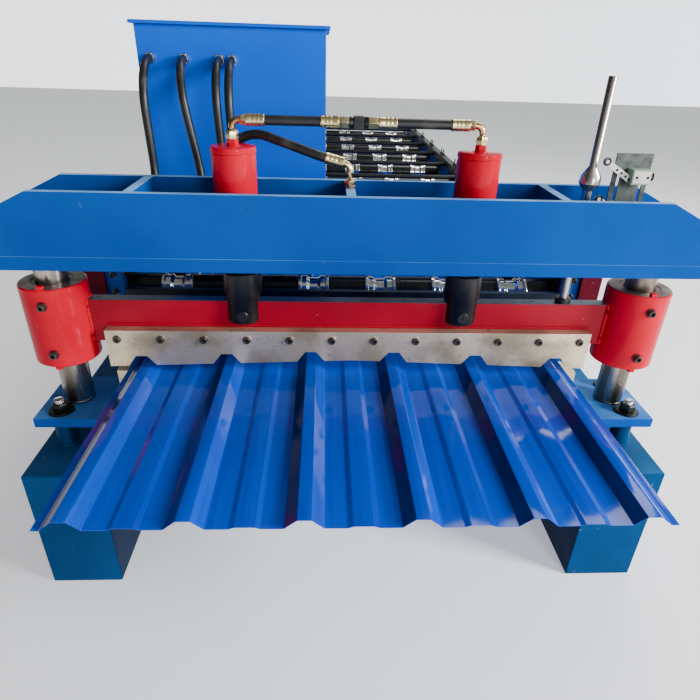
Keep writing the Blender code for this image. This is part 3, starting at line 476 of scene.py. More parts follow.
class Stock:
    """Metal in the making: solids on one mesh, each with its finish.

    They are given in the part's own axis frame, and shift_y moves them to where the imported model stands.
    """

    shift_y: float = 0.0

    def __init__(self, name: str, *finishes: Finish) -> None:
        """Starts an empty piece.

        Args:
            name: The piece's name.
            finishes: Its finishes, which the solids name by number.
        """
        self.name = name
        self.finishes = finishes
        self.mesh = bmesh.new()

    def skin(self, rings: list[list[Vector]], bands: list[int], closed: bool = False) -> None:
        """Joins rings of points with faces, and caps both ends if the skin isn't closed on itself.

        Args:
            rings: The rings, each with as many points. A ring of one point is a pole.
            bands: The finish of each band between two rings.
            closed: Whether the last ring joins the first.
        """
        made = [[self.mesh.verts.new(point) for point in ring] for ring in rings]
        pairs = list(zip(made, made[1:]))
        if closed:
            pairs.append((made[-1], made[0]))
        for (near, far), finish in zip(pairs, bands):
            count = max(len(near), len(far))
            for side in range(count):
                following = (side + 1) % count
                corners = [near[side % len(near)], near[following % len(near)]]
                corners += [far[following % len(far)], far[side % len(far)]]
                face = self.mesh.faces.new(list(dict.fromkeys(corners)))
                face.material_index = finish
                face.smooth = True
        if not closed:
            for ring, finish in ((made[0][::-1], bands[0]), (made[-1], bands[-1])):
                if len(ring) > 2:
                    face = self.mesh.faces.new(ring)
                    face.material_index = finish

    def box(self, low: Point, high: Point, finish: int = 0) -> None:
        """A box between its lowest and its highest corner."""
        corners = ((low[0], low[1]), (high[0], low[1]), (high[0], high[1]), (low[0], high[1]))
        self.skin([[Vector((x, y, z)) for x, y in corners] for z in (low[2], high[2])], [finish])
        self.flatten(6)

    def flatten(self, count: int) -> None:
        """Makes the last faces flat."""
        self.mesh.faces.ensure_lookup_table()
        for face in self.mesh.faces[-count:]:
            face.smooth = False

    def turned(
        self, profile: Profile, at: Point, ahead: Point = UPWARD, sides: int = 32, start: float = 0.0,
        finish: int = 0,
    ) -> None:
        """A solid of revolution.

        Args:
            profile: (radius, height) from the bottom to the top, and the finish above it if it differs.
            at: Where height 0 is.
            ahead: The direction of its axis.
            sides: Sides of its circle.
            start: The angle of its first side.
            finish: The number of its finish where the profile gives none.
        """
        turn = Vector(ahead).to_track_quat("Z", "Y")
        rings = []
        bands = []
        for radius, height, *own in profile:
            bands.append(int(own[0]) if own else finish)
            count = sides if radius > 1e-6 else 1
            ring = []
            for side in range(count):
                angle = start + 2 * math.pi * side / sides
                point = Vector((radius * math.cos(angle), radius * math.sin(angle), height))
                ring.append(Vector(at) + turn @ point)
            rings.append(ring)
        closed = profile[0][:2] == profile[-1][:2]
        if closed:
            rings.pop()
        self.skin(rings, bands, closed)

    def disc(
        self, at: Point, radius: float, height: float, ahead: Point = UPWARD, sides: int = 24, finish: int = 0
    ) -> None:
        """A plain round bar, pin or washer from its foot."""
        profile = [(0.0, 0.0), (radius, 0.0), (radius, height), (0.0, height)]
        self.turned(profile, at, ahead, sides, finish=finish)

    def prism(self, outline: list[Pair], low: float, high: float, finish: int = 0) -> None:
        """An outline in X and Z, given anticlockwise from the front, with its thickness along Y."""
        front = [Vector((x, low, z)) for x, z in outline]
        rear = [Vector((x, high, z)) for x, z in outline]
        self.skin([front[::-1], rear[::-1]], [finish])
        self.flatten(len(outline) + 2)

    def tube(self, route: list[tuple[Point, float]], finish: int = 0, sides: int = 16) -> None:
        """A round bar along a route of (point, radius)."""
        points = [Vector(point) for point, _ in route]
        rings = []
        for index, (here, (_, radius)) in enumerate(zip(points, route)):
            before, after = points[max(index - 1, 0)], points[min(index + 1, len(points) - 1)]
            turn = (after - before).to_track_quat("Z", "Y")
            angles = [2 * math.pi * side / sides for side in range(sides)]
            circle = [Vector((radius * math.cos(a), radius * math.sin(a), 0)) for a in angles]
            rings.append([here + turn @ point for point in circle])
        self.skin(rings, [finish] * len(rings))

    def bead(self, start: Point, end: Point, radius: float, finish: int = 0) -> None:
        """A weld seam from one point to another, in small overlapping scales."""
        first, last = Vector(start), Vector(end)
        count = max(4, int((last - first).length / (radius * 0.45)))
        route = []
        for step in range(count + 1):
            ripple = 0.82 + 0.18 * math.sin(step * 2.1) + 0.06 * math.sin(step * 0.83)
            point = first.lerp(last, step / count)
            route.append(((point.x, point.y, point.z), radius * ripple))
        self.tube(route, finish, 8)

    def nut(
        self, at: Point, across: float, height: float, ahead: Point = UPWARD, finish: int = 0,
        start: float = 0.0,
    ) -> None:
        """A hexagon nut or bolt head with chamfered corners."""
        radius = across / math.sqrt(3.0)
        cut = height * 0.12
        profile = [(0.0, 0.0), (radius * 0.93, 0.0), (radius, cut), (radius, height - cut)]
        profile += [(radius * 0.9, height), (0.0, height)]
        self.turned(profile, at, ahead, 6, start, finish)
        self.flatten(26)

    def screw(
        self, at: Point, radius: float, height: float, ahead: Point, finish: int = 0,
        socket: int | None = None, sides: int = 24,
    ) -> None:
        """A socket head cap screw's head.

        Args:
            at: The middle of its seat.
            radius: Its radius.
            height: How far it stands out.
            ahead: Where it points.
            finish: The number of its finish.
            socket: The number of the socket's finish, if it differs.
            sides: Sides of its circle.
        """
        inside = finish if socket is None else socket
        hole = radius * 0.55
        edge = radius * 0.12
        profile = [(0.0, 0.0, finish), (radius, 0.0, finish), (radius, height - edge, finish)]
        profile += [(radius - edge, height, finish), (hole, height, inside), (hole, height * 0.45, inside)]
        self.turned([*profile, (0.0, height * 0.35, inside)], at, ahead, sides)

    def thread(self, at: Point, radius: float, length: float, finish: int = 0, pitch: float = 0.002) -> None:
        """An upright threaded bar with a chamfered end."""
        profile = [(0.0, 0.0), (radius, 0.0)]
        for turn in range(int(length / pitch) - 1):
            profile += [(radius * 0.88, (turn + 0.5) * pitch), (radius, (turn + 1) * pitch)]
        profile += [(radius * 0.8, length), (0.0, length)]
        self.turned(profile, at, sides=20, finish=finish)

    def cast(self, bevel: float = 0.0, angle: float = 35.0) -> bpy.types.Object:
        """Makes the object, which rides on nothing yet.

        Args:
            bevel: The width of its rounded edges.
            angle: Edges sharper than this many degrees stay sharp.

        Returns:
            The new object.
        """
        bmesh.ops.recalc_face_normals(self.mesh, faces=self.mesh.faces)
        bmesh.ops.translate(self.mesh, verts=self.mesh.verts, vec=(0.0, Stock.shift_y, 0.0))
        data = bpy.data.meshes.new(self.name)
        self.mesh.to_mesh(data)
        self.mesh.free()
        for finish in self.finishes:
            data.materials.append(material_of(finish))
        data.set_sharp_from_angle(angle=math.radians(angle))
        made = bpy.data.objects.new(self.name, data)
        bpy.context.scene.collection.objects.link(made)
        if bevel:
            round_edges(made, bevel, angle)
        return made

    def deliver(
        self, body: str | Body, *nodes: str, bevel: float = 0.0, slot: Slot | None = None, angle: float = 35.0
    ) -> bpy.types.Object:
        """Makes the piece and lets it ride on a body.

        Args:
            body: The body that it rides on.
            nodes: The CAD nodes that it replaces.
            bevel: The width of its rounded edges.
            slot: Not used.
            angle: Edges sharper than this many degrees stay sharp.

        Returns:
            The new object.
        """
        made = self.cast(bevel, angle)
        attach(made, body.value if isinstance(body, Body) else body)
        if nodes:
            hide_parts(*nodes)
        LOG.info("piece %s: %d faces", self.name, len(made.data.polygons))
        return made


def round_edges(piece: bpy.types.Object, width: float, angle: float = 35.0) -> None:
    """Adds a Bevel modifier.

    Args:
        piece: The piece.
        width: The width of the rounded edge.
        angle: Edges sharper than this many degrees are rounded.
    """
    bevel = piece.modifiers.new("rounded_edges", "BEVEL")
    bevel.width = width
    bevel.segments = 2
    bevel.limit_method = "ANGLE"
    bevel.angle_limit = math.radians(angle)
    bevel.harden_normals = True


def carve(piece: bpy.types.Object, cutters: list[bpy.types.Object]) -> None:
    """Takes the cutters out of a piece for good, and throws them away."""
    for cutter in cutters:
        cut = piece.modifiers.new("cut", "BOOLEAN")
        cut.solver = "EXACT"
        cut.object = cutter
        piece.modifiers.move(len(piece.modifiers) - 1, 0)
    kept = [modifier for modifier in piece.modifiers if modifier.type == "BEVEL"]
    for modifier in kept:
        modifier.show_viewport = False
    bpy.context.view_layer.update()
    carved = bpy.data.meshes.new_from_object(piece.evaluated_get(bpy.context.evaluated_depsgraph_get()))
    for modifier in list(piece.modifiers):
        if modifier.type == "BOOLEAN":
            piece.modifiers.remove(modifier)
    for modifier in kept:
        modifier.show_viewport = True
    piece.data = carved
    for cutter in cutters:
        bpy.data.objects.remove(cutter, do_unlink=True)


def rounded(points: list[Pair], radius: float, steps: int = 3) -> list[Pair]:
    """An open line with its corners rounded.

    Args:
        points: The line's corners.
        radius: How far before a corner the bend starts, at most.
        steps: Points in each bend, less one.

    Returns:
        The points of the smoothed line.
    """
    line = [points[0]]
    for before, here, after in zip(points, points[1:], points[2:]):
        a, b, c = Vector(before), Vector(here), Vector(after)
        reach = min(radius, (b - a).length * 0.45, (c - b).length * 0.45)
        start, end = b + (a - b).normalized() * reach, b + (c - b).normalized() * reach
        for step in range(steps + 1):
            t = step / steps
            point = start * (1 - t) ** 2 + b * (2 * t * (1 - t)) + end * t**2
            line.append((point.x, point.y))
    line.append(points[-1])
    return line


@dataclass(frozen=True)
class Lamp:
    """One soft area light: its place, what it points at, its width and height, and its watts."""

    name: str
    at: Point
    aim: Point
    size: Pair
    power: float
    colour: Colour = (1.0, 1.0, 1.0)

    def light(self) -> None:
        """Sets it up."""
        data = bpy.data.lights.new(self.name, "AREA")
        data.shape = "RECTANGLE"
        data.size, data.size_y = self.size
        data.energy = self.power
        data.color = self.colour
        made = bpy.data.objects.new(self.name, data)
        bpy.context.scene.collection.objects.link(made)
        made.location = self.at
        made.rotation_euler = (Vector(self.aim) - Vector(self.at)).to_track_quat("-Z", "Y").to_euler()


@dataclass
class Studio:
    """The camera at the photograph's viewing angle, soft light and a pale floor."""

    eye: Point = (-0.0697, -3.0626, 1.2279)
    pitch: float = 29.35
    yaw: float = 3.33
    roll: float = 1.9
    lens: float = 29.093
    shift: Pair = (-0.0028, 0.0276)
    side_glow: float = 0.55
    front_glow: float = 0.25
    horizon: float = 2.2
    lamps: tuple[Lamp, ...] = (
        Lamp("key", (5.0, -4.0, 2.75), (0.0, -1.9, 0.5), (1.5, 1.5), 560.0, (0.97, 0.99, 1.0)),
        Lamp("front", (1.9, -6.2, 1.7), (0.0, -1.8, 0.7), (1.1, 1.4), 95.0, (0.98, 0.99, 1.0)),
        Lamp("top", (1.9, 1.2, 4.3), (0.0, 0.3, 0.6), (1.6, 3.2), 140.0),
    )

    def camera(self) -> None:
        """Sets up the camera."""
        pitch, yaw, roll = (math.radians(value) for value in (self.pitch, self.yaw, self.roll))
        ahead = Vector((math.sin(yaw) * math.cos(pitch), math.cos(yaw) * math.cos(pitch), -math.sin(pitch)))
        level = Vector((math.cos(yaw), -math.sin(yaw), 0.0))
        up = level.cross(ahead)
        right = math.cos(roll) * level + math.sin(roll) * up
        up = math.cos(roll) * up - math.sin(roll) * level
        turn = Matrix((right, up, -ahead)).transposed()
        data = bpy.data.cameras.new("camera")
        data.sensor_width = 36.0
        data.lens = self.lens
        data.shift_x, data.shift_y = self.shift
        data.clip_start = 0.01
        made = bpy.data.objects.new("camera", data)
        bpy.context.scene.collection.objects.link(made)
        made.matrix_world = Matrix.Translation(self.eye) @ turn.to_4x4()
        bpy.context.scene.camera = made

    def surroundings(self) -> None:
        """A studio that is dark on the left and behind, bright on the right, and white at the horizon."""
        world = bpy.data.worlds.new("studio")
        g = Graph(world, "Background")
        way = g.place("Generated")
        across, along, height = (g.part_of(way, axis) for axis in "XYZ")
        right = g.rise(across, 0.25, 0.85)
        left = g.rise(across, -0.75, -0.15, 0.30, 1.0)
        front = g.rise(along, -0.2, -0.8)
        level = g.rise(abs(height), 0.28, 0.04) * g.rise(along, 0.1, 0.6)
        light = (0.22 + right * self.side_glow + front * self.front_glow) * left + level * self.horizon
        colour = g.mix(right, (0.93, 0.96, 1.0), (0.80, 0.93, 1.0))
        g.dress({"Color": g.scaled(colour, light), "Strength": 1.0})
        bpy.context.scene.world = world

    def light(self) -> None:
        """The lamps: the key stands to the right, so that the flanks that face left stay dark."""
        self.surroundings()
        for lamp in self.lamps:
            lamp.light()

    def floor(self) -> None:
        """A large pale floor, a little under the machine's feet."""
        stock = Stock("floor", Ground())
        stock.box((-14.0, -14.0, -0.05), (14.0, 18.0, -0.0005))
        stock.cast()


@dataclass
class Hoses:
    """The four hoses from the tank down to the crown, and the hose of the lower port."""

    radius: float = 0.0098
    tank_front: float = 0.330
    tank_port: float = 0.012
    crown_port: float = 0.010
    crown_rear: float = 0.094
    hang_y: float = 0.207
    high_z: float = 1.200
    low_z: float = 0.885
    stub: float = 0.004
    steps: int = 10
    nut: Pair = (0.0225, 0.013)
    foot: Point = (-0.290, 0.0605, 0.915)
    wide_bend: float = 0.083
    # Each hose's letter and its X at the tank and at the crown.
    places: tuple[tuple[str, float, float], ...] = (
        ("a", -0.486, -0.478),
        ("b", -0.406, -0.360),
        ("c", -0.322, -0.311),
        ("d", -0.292, -0.286),
    )

    def tank_route(self, top_x: float, end_x: float) -> list[Point]:
        """Out of the tank's port, down in front of it and back into the crown's port."""
        start_y = self.tank_front - self.tank_port - TOUCH
        end_y = self.crown_rear + self.crown_port + TOUCH
        high_bend = start_y - self.stub - self.hang_y
        low_bend = self.hang_y - end_y - self.stub
        angles = [math.pi / 2 * step / self.steps for step in range(self.steps + 1)]
        line = [(start_y, self.high_z)]
        for a in angles:
            y = self.hang_y + high_bend * (1 - math.sin(a))
            line.append((y, self.high_z - high_bend * (1 - math.cos(a))))
        for a in angles:
            y = self.hang_y - low_bend * (1 - math.cos(a))
            line.append((y, self.low_z + low_bend * (1 - math.sin(a))))
        line.append((end_y, self.low_z))
        lengths = [0.0]
        for near, far in zip(line, line[1:]):
            lengths.append(lengths[-1] + math.dist(near, far))
        shares = [(1 - math.cos(math.pi * way / lengths[-1])) / 2 for way in lengths]
        return [(top_x + (end_x - top_x) * share, y, z) for share, (y, z) in zip(shares, line)]

    def lower_route(self) -> list[Point]:
        """Up from the crown's floor, over in a wide bend and down to the fitting on the middle rib."""
        start, ferrule_end = (Vector(point) for point in LOWER_FERRULE)
        ahead = (ferrule_end - start).normalized()
        end = start - ahead * (TOUCH + self.radius)
        foot = Vector((self.foot[0], self.foot[1], self.foot[2] + TOUCH))
        fall = -ahead.z / ahead.x
        turn = math.pi / 2 + math.atan(fall)
        angles = [turn * step / (2 * self.steps) for step in range(2 * self.steps + 1)]
        bend = [(self.wide_bend * (1 - math.cos(a)), self.wide_bend * math.sin(a)) for a in angles]
        reach = math.hypot(end.x - foot.x, end.y - foot.y)
        bend_z = end.z + (reach - bend[-1][0]) * fall - bend[-1][1]
        line = [(0.0, foot.z), *((a, bend_z + b) for a, b in bend), (reach, end.z)]
        route = []
        for along, z in line:
            share = along / reach
            y = foot.y + (end.y - foot.y) * (1 - math.cos(math.pi * share**1.5)) / 2
            route.append((foot.x + (end.x - foot.x) * share, y, z))
        last = start - ahead * TOUCH
        return [*route, (last.x, last.y, last.z)]

    def hose(self, name: str, route: list[Point], lay: str) -> None:
        """One hose as a bevelled curve.

        Args:
            name: The CAD node's name, which the piece replaces.
            route: The points of its middle line.
            lay: Not used.
        """
        data = bpy.data.curves.new(f"{name}_rubber", "CURVE")
        data.dimensions = "3D"
        data.bevel_depth = self.radius
        data.bevel_resolution = 6
        data.use_fill_caps = True
        spline = data.splines.new("POLY")
        spline.points.add(len(route) - 1)
        spline.use_smooth = True
        for place, (x, y, z) in zip(spline.points, route):
            place.co = (x, y + Stock.shift_y, z, 1.0)
        data.materials.append(material_of(RUBBER))
        made = bpy.data.objects.new(f"{name}_rubber", data)
        bpy.context.scene.collection.objects.link(made)
        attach(made, Body.FRAME.value)
        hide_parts(name)
        length = sum(math.dist(near, far) for near, far in zip(route, route[1:]))
        exit_point = (route[0][0], route[0][1] + Stock.shift_y, route[0][2])
        LOG.info("cord %s: %.3f m", name, length)

    def fittings(self) -> None:
        """The nuts that hold the hoses' ends."""
        stock = Stock("hose_end_nuts", BRASS)
        for _, top_x, end_x in self.places:
            stock.nut((top_x, self.tank_front - self.tank_port, self.high_z), *self.nut, FRONT)
            stock.nut((end_x, self.crown_rear + self.crown_port, self.low_z), *self.nut, REAR)
        stock.nut(self.foot, *self.nut)
        stock.deliver(Body.FRAME, bevel=0.0004)

    def build(self) -> None:
        """Builds all five hoses."""
        for letter, top_x, end_x in self.places:
            self.hose(f"tank_hose_{letter}", self.tank_route(top_x, end_x), "hanging")
        self.hose("lower_port_hose", self.lower_route(), "taut")
        self.fittings()


@dataclass
class FormedSheet:
    """The roofing sheet that leaves the machine."""

    front_y: float = -0.548
    rear_y: float = 4.185
    pass_z: float = 0.530
    thickness: float = 0.0012
    height: float = 0.018
    crest: float = 0.024
    base: float = 0.068
    lip: float = 0.014
    swage_step: float = 0.010
    swage_rise: float = 0.0035
    bend: float = 0.0012
    rows: tuple[int, int] = (12, 24)

    def line(self) -> list[Pair]:
        """The sheet's section: (x, height above the pan)."""
        points = [(RIBS[0] - self.base / 2 - self.lip, 0.0)]
        pan = RIB_PITCH - self.base
        for x in RIBS:
            points += [(x - self.base / 2, 0.0), (x - self.crest / 2, self.height)]
            points += [(x + self.crest / 2, self.height), (x + self.base / 2, 0.0)]
            if x == RIBS[-1]:
                continue
            left, right = x + self.base / 2 + pan / 3, x + self.base / 2 + pan * 2 / 3
            points += [(left - self.swage_step / 2, 0.0), (left + self.swage_step / 2, self.swage_rise)]
            points += [(right - self.swage_step / 2, self.swage_rise), (right + self.swage_step / 2, 0.0)]
        points.append((RIBS[-1] + self.base / 2 + self.lip, 0.0))
        return rounded(points, self.bend)

    def build(self) -> None:
        """Builds the sheet."""
        line = self.line()
        ahead, behind = self.rows
        rows = [self.front_y + (STATIONS[0] - self.front_y) * step / ahead for step in range(ahead)]
        rows += [STATIONS[0] + (self.rear_y - STATIONS[0]) * step / behind for step in range(behind + 1)]
        stock = Stock("formed_roof_sheet", SHEET)
        top: list[list[bmesh.types.BMVert]] = []
        low: list[list[bmesh.types.BMVert]] = []
        for y in rows:
            top.append([stock.mesh.verts.new((x, y, self.pass_z + up)) for x, up in line])
            low.append([stock.mesh.verts.new((x, y, self.pass_z + up - self.thickness)) for x, up in line])
        new = stock.mesh.faces.new
        last = len(line) - 1
        for row in range(len(rows) - 1):
            for i in range(last):
                new((top[row][i], top[row][i + 1], top[row + 1][i + 1], top[row + 1][i])).smooth = True
                new((low[row][i], low[row + 1][i], low[row + 1][i + 1], low[row][i + 1])).smooth = True
            new((top[row][0], top[row + 1][0], low[row + 1][0], low[row][0]))
            new((top[row][last], low[row][last], low[row + 1][last], top[row + 1][last]))
        for i in range(last):
            new((top[0][i], low[0][i], low[0][i + 1], top[0][i + 1]))
            new((top[-1][i], top[-1][i + 1], low[-1][i + 1], low[-1][i]))
        stock.deliver(Body.FRAME, "formed_sheet", angle=50.0)


@dataclass
class RollSet:
    """The chromed rolls with their dark spacers, above and below the sheet."""

    upper_z: float = 0.588
    lower_z: float = 0.4757
    wall_inner: float = 0.637
    spacer: float = 0.044
    roll: float = 0.053
    half_width: float = 0.045
    body: float = 0.0450
    groove: float = 0.0385
    disc: float = 0.0085
    edge: float = 0.001
    slope: Pair = (0.0120, 0.0205)
    journal: float = 0.022
    journal_length: float = 0.018
    collar_gap: float = 0.010
    rail_width: float = 0.016
    rail_half: float = 0.035
    rail_front: float = 0.315
    rail_past: float = 0.07
    lower_body: float = 0.045
    lower_roll: float = 0.0518
    lower_reach: Pair = (0.040, 0.046)

    def upper_profile(self) -> Profile:
        """The upper shaft's profile: chrome is finish 0 and dark steel 1."""
        half = self.wall_inner - self.collar_gap
        end = self.wall_inner + self.journal_length - TOUCH
        points = [(0.0, -end, 0), (self.journal, -end, 0), (self.journal, -half, 1), (self.spacer, -half, 1)]
        near, far = self.slope
        inner = self.half_width - self.disc
        outer = self.half_width
        edge = self.edge
        bobbin = [(outer, self.spacer), (outer, self.roll - edge), (outer - edge, self.roll)]
        bobbin += [(inner + edge, self.roll), (inner, self.roll - edge), (inner - edge, self.body)]
        bobbin += [(far, self.body), (near, self.groove)]
        for x in RIBS:
            points += [(radius, x - reach, 0) for reach, radius in bobbin]
            points += [(radius, x + reach, 0) for reach, radius in reversed(bobbin)]
            points[-1] = (self.spacer, x + outer, 1)
        points += [(self.spacer, half, 1), (self.journal, half, 0), (self.journal, end, 0), (0.0, end, 0)]
        return points

    def upper(self) -> None:
        """One shaft above the sheet for each station."""
        for number, y in enumerate(STATIONS, 1):
            stock = Stock(f"forming_rolls_{number:02d}", ROLLED, SPACER)
            stock.turned(self.upper_profile(), (0.0, y, self.upper_z), ASIDE, 40)
            body = f"upper_shaft_{number:02d}"
            stock.deliver(body, body, bevel=0.0008, angle=28.0)

    def lower(self) -> None:
        """The rolls below the sheet, with their bearing rails."""
        stock = Stock("lower_rolls_and_rails", ROLLED, SPACER, BLACKENED)
        outer = self.wall_inner - TOUCH
        inner = outer - self.rail_width
        low = (inner, self.rail_front, self.lower_z - self.rail_half)
        high = (outer, STATIONS[-1] + self.rail_past, self.lower_z + self.rail_half)
        for side, _ in SIDES:
            stock.box(*mirrored(side, low, high), 2)
        half = inner - self.collar_gap
        near, far = self.lower_reach
        points: Profile = [(0.0, -inner), (self.journal, -inner), (self.journal, -half, 1)]
        points.append((self.lower_body, -half, 1))
        for x in RIBS:
            points += [(self.lower_body, x - far), (self.lower_roll, x - near)]
            points += [(self.lower_roll, x + near), (self.lower_body, x + far, 1)]
        points += [(self.lower_body, half, 1), (self.journal, half), (self.journal, inner), (0.0, inner)]
        for y in STATIONS:
            stock.turned(points, (0.0, y, self.lower_z), ASIDE, 28)
        stock.deliver(Body.FRAME, "lower_roll_bank", slot=Slot.CHROME)

    def build(self) -> None:
        """Builds both sets."""
        self.upper()
        self.lower()


@dataclass
class GuidePosts:
    """The two chromed posts with their nuts above the crown's floor and under the base plate."""

    x: float = 0.684
    radius: float = 0.035
    neck: float = 0.024
    plate_low: float = 0.420
    plate_top: float = 0.444
    crown_low: float = 0.811
    crown_top: float = 0.841
    nut: Pair = (0.072, 0.0297)
    crown_nut: Pair = (0.072, 0.0237)
    # The groove's corners: how deep they are, and how far above the plate.
    groove: tuple[Pair, ...] = ((0.0, 0.004), (0.0008, 0.005), (0.0008, 0.0065), (0.0, 0.008))

    def build(self) -> None:
        """Builds both posts."""
        foot, shoulder = self.plate_low - TOUCH, self.plate_top + TOUCH
        profile: Profile = [(0.0, foot), (self.neck, foot), (self.neck, shoulder, 1)]
        profile.append((self.radius, shoulder, 1))
        profile += [(self.radius - depth, self.plate_top + up) for depth, up in self.groove]
        profile += [(self.radius, self.crown_low - TOUCH), (self.neck, self.crown_low - TOUCH)]
        profile += [(self.neck, self.crown_top + TOUCH), (0.0, self.crown_top + TOUCH)]
        for side, name in SIDES:
            x = side * self.x
            stock = Stock(f"chromed_post_{name}", CHROME, BLACKENED)
            stock.turned(profile, (x, 0.0, 0.0), sides=48)
            stock.nut((x, 0.0, foot - self.nut[1]), *self.nut, finish=1)
            stock.nut((x, 0.0, self.crown_top + TOUCH), *self.crown_nut, finish=1)
            stock.deliver(Body.FRAME, f"guide_post_{name}", bevel=0.0006)


@dataclass
class Sleeves:
    """The red guide sleeves with their bare top, set screws, stop tabs and weld."""

    x: float = 0.684
    radius: float = 0.073
    bore: float = 0.0358
    low: float = 0.568
    height: float = 0.190
    chamfer: float = 0.003
    # The turned ring's corners: how far outside the bore, and how far under the top.
    recess: tuple[Pair, ...] = ((0.012, 0.0), (0.011, 0.0015), (0.001, 0.0015), (0.0, 0.003))
    tab_half: float = 0.007
    tab_depths: Pair = (0.003, 0.015)
    tab_heights: Pair = (0.007, 0.008)
    beam_half: float = 0.0158
    weld_zs: Pair = (0.613, 0.715)
    welds: Pair = (0.0045, 0.004)
    sunk: float = 0.001
    screw: Pair = (0.0088, 0.0125)
    screw_nut: Pair = (0.0206, 0.0042)
    screw_zs: Pair = (0.603, 0.721)

    def shell(self, stock: Stock, x: float) -> None:
        """The sleeve itself: finish 0 outside, 1 on the turned top and in the bore."""
        top = self.low + self.height
        r, c = self.radius, self.chamfer
        profile: Profile = [(self.bore, self.low, 1), (r - c, self.low), (r, self.low + c), (r, top - c)]
        profile.append((r - c, top, 1))
        profile += [(self.bore + out, top - down, 1) for out, down in self.recess]
        stock.turned([*profile, (self.bore, self.low, 1)], (x, 0.0, 0.0), sides=64)

    def tabs(self, stock: Stock, x: float) -> None:
        """The small red stop blocks on the top and under the sleeve, at its front."""
        top = self.low + self.height
        under, above = self.tab_heights
        near, far = (depth - self.radius for depth in self.tab_depths)
        for low, high in ((top, top + above), (self.low - under, self.low)):
            stock.box((x - self.tab_half, near, low), (x + self.tab_half, far, high))

    def weld(self, stock: Stock, side: int) -> None:
        """The lumpy seams where the beam meets the sleeve."""
        half = self.beam_half
        x = side * (self.x - math.sqrt(self.radius**2 - half**2) - self.sunk)
        low, high = self.weld_zs
        upright, level = self.welds
        for y in (-half - self.sunk, half + self.sunk):
            stock.bead((x, y, low), (x, y, high), upright)
        stock.bead((x, -half, high + self.sunk), (x, half, high + self.sunk), level)

    def build(self) -> None:
        """Builds both sleeves."""
        for side, name in SIDES:
            stock = Stock(f"red_sleeve_{name}", RED, TURNED, BLACKENED, SCREW)
            x = side * self.x
            self.shell(stock, x)
            self.tabs(stock, x)
            self.weld(stock, side)
            for z in self.screw_zs:
                stock.nut((x, self.sunk - self.radius, z), *self.screw_nut, FRONT, 2)
                stock.screw((x, self.sunk / 2 - self.radius, z), *self.screw, FRONT, 3, 2)
            stock.deliver(Body.CARRIAGE, f"guide_sleeve_{name}", bevel=0.0008)


@dataclass
class KnifeBeam:
    """The red beam of the knife carriage, with its bare top and the ledge above the knife."""

    reach: float = 0.6107
    half: float = 0.0155
    low: float = 0.612
    top: float = 0.716
    bare: float = 0.0010
    bare_inset: float = 0.0004
    ledge_reach: float = 0.5765
    ledge_depth: float = 0.0020
    ledge_zs: Pair = (0.6505, 0.6580)
    screw: Pair = (0.0045, 0.0034)
    screw_at: Pair = (0.002, 0.003)
    screw_xs: tuple[float, ...] = (-0.59, -0.2, 0.12, 0.43)

    def build(self) -> None:
        """Builds the beam."""
        stock = Stock("red_knife_beam", SHADED_BEAM_RED, EDGE_STEEL, BLACKENED)
        bare_z, bare_half = self.top - self.bare, self.half - self.bare_inset
        stock.box((-self.reach, -self.half, self.low), (self.reach, self.half, bare_z))
        stock.box((-self.reach, -bare_half, bare_z), (self.reach, bare_half, self.top), 1)
        low, high = self.ledge_zs
        front = -self.half - self.ledge_depth
        stock.box((-self.ledge_reach, front, low), (self.ledge_reach, -self.half, high))
        y, sunk = self.screw_at
        for x in self.screw_xs:
            stock.screw((x, y, self.top - sunk), *self.screw, UPWARD, 2, sides=20)
        stock.deliver(Body.CARRIAGE, "knife_beam", bevel=0.0007)


@dataclass
class UpperKnife:
    """The notched upper knife with its row of socket screws."""

    half: float = 0.576
    front: float = -0.0415
    rear: float = -0.0158
    top: float = 0.650
    end_z: float = 0.556
    middle_z: float = 0.575
    base: float = 0.066
    crest: float = 0.026
    depth: float = 0.025
    screws: int = 12
    screw_pitch: float = 0.1
    screw_z: float = 0.628
    screw: Pair = (0.0088, 0.0065)
    # The raised rim round each screw: its radius and how far it stands out.
    rim: tuple[Pair, ...] = ((0.0085, 0.0), (0.0118, 0.0), (0.0112, 0.0010), (0.0095, 0.0010), (0.0085, 0.0))

    def edge_z(self, x: float) -> float:
        """The height of the cutting edge."""
        return self.middle_z - (self.middle_z - self.end_z) * abs(x) / self.half

    def build(self) -> None:
        """Builds the knife."""
        points = [(-self.half, self.top), (-self.half, self.end_z)]
        for x in RIBS:
            crest = self.edge_z(x) + self.depth
            points += [(x - self.base / 2, self.edge_z(x - self.base / 2)), (x - self.crest / 2, crest)]
            points += [(x + self.crest / 2, crest), (x + self.base / 2, self.edge_z(x + self.base / 2))]
            if x < 0 < x + RIB_PITCH:
                points.append((0.0, self.middle_z))
        points += [(self.half, self.end_z), (self.half, self.top)]
        stock = Stock("notched_upper_knife", KNIFE, BLACKENED, SCREW)
        stock.prism(points, self.front, self.rear)
        for index in range(self.screws):
            x = (index - (self.screws - 1) / 2) * self.screw_pitch
            stock.turned(list(self.rim), (x, self.front, self.screw_z), FRONT, 28)
            stock.screw((x, self.front + 0.0005, self.screw_z), *self.screw, FRONT, 2, 1)
        stock.deliver(Body.CARRIAGE, "upper_knife", bevel=0.0009)


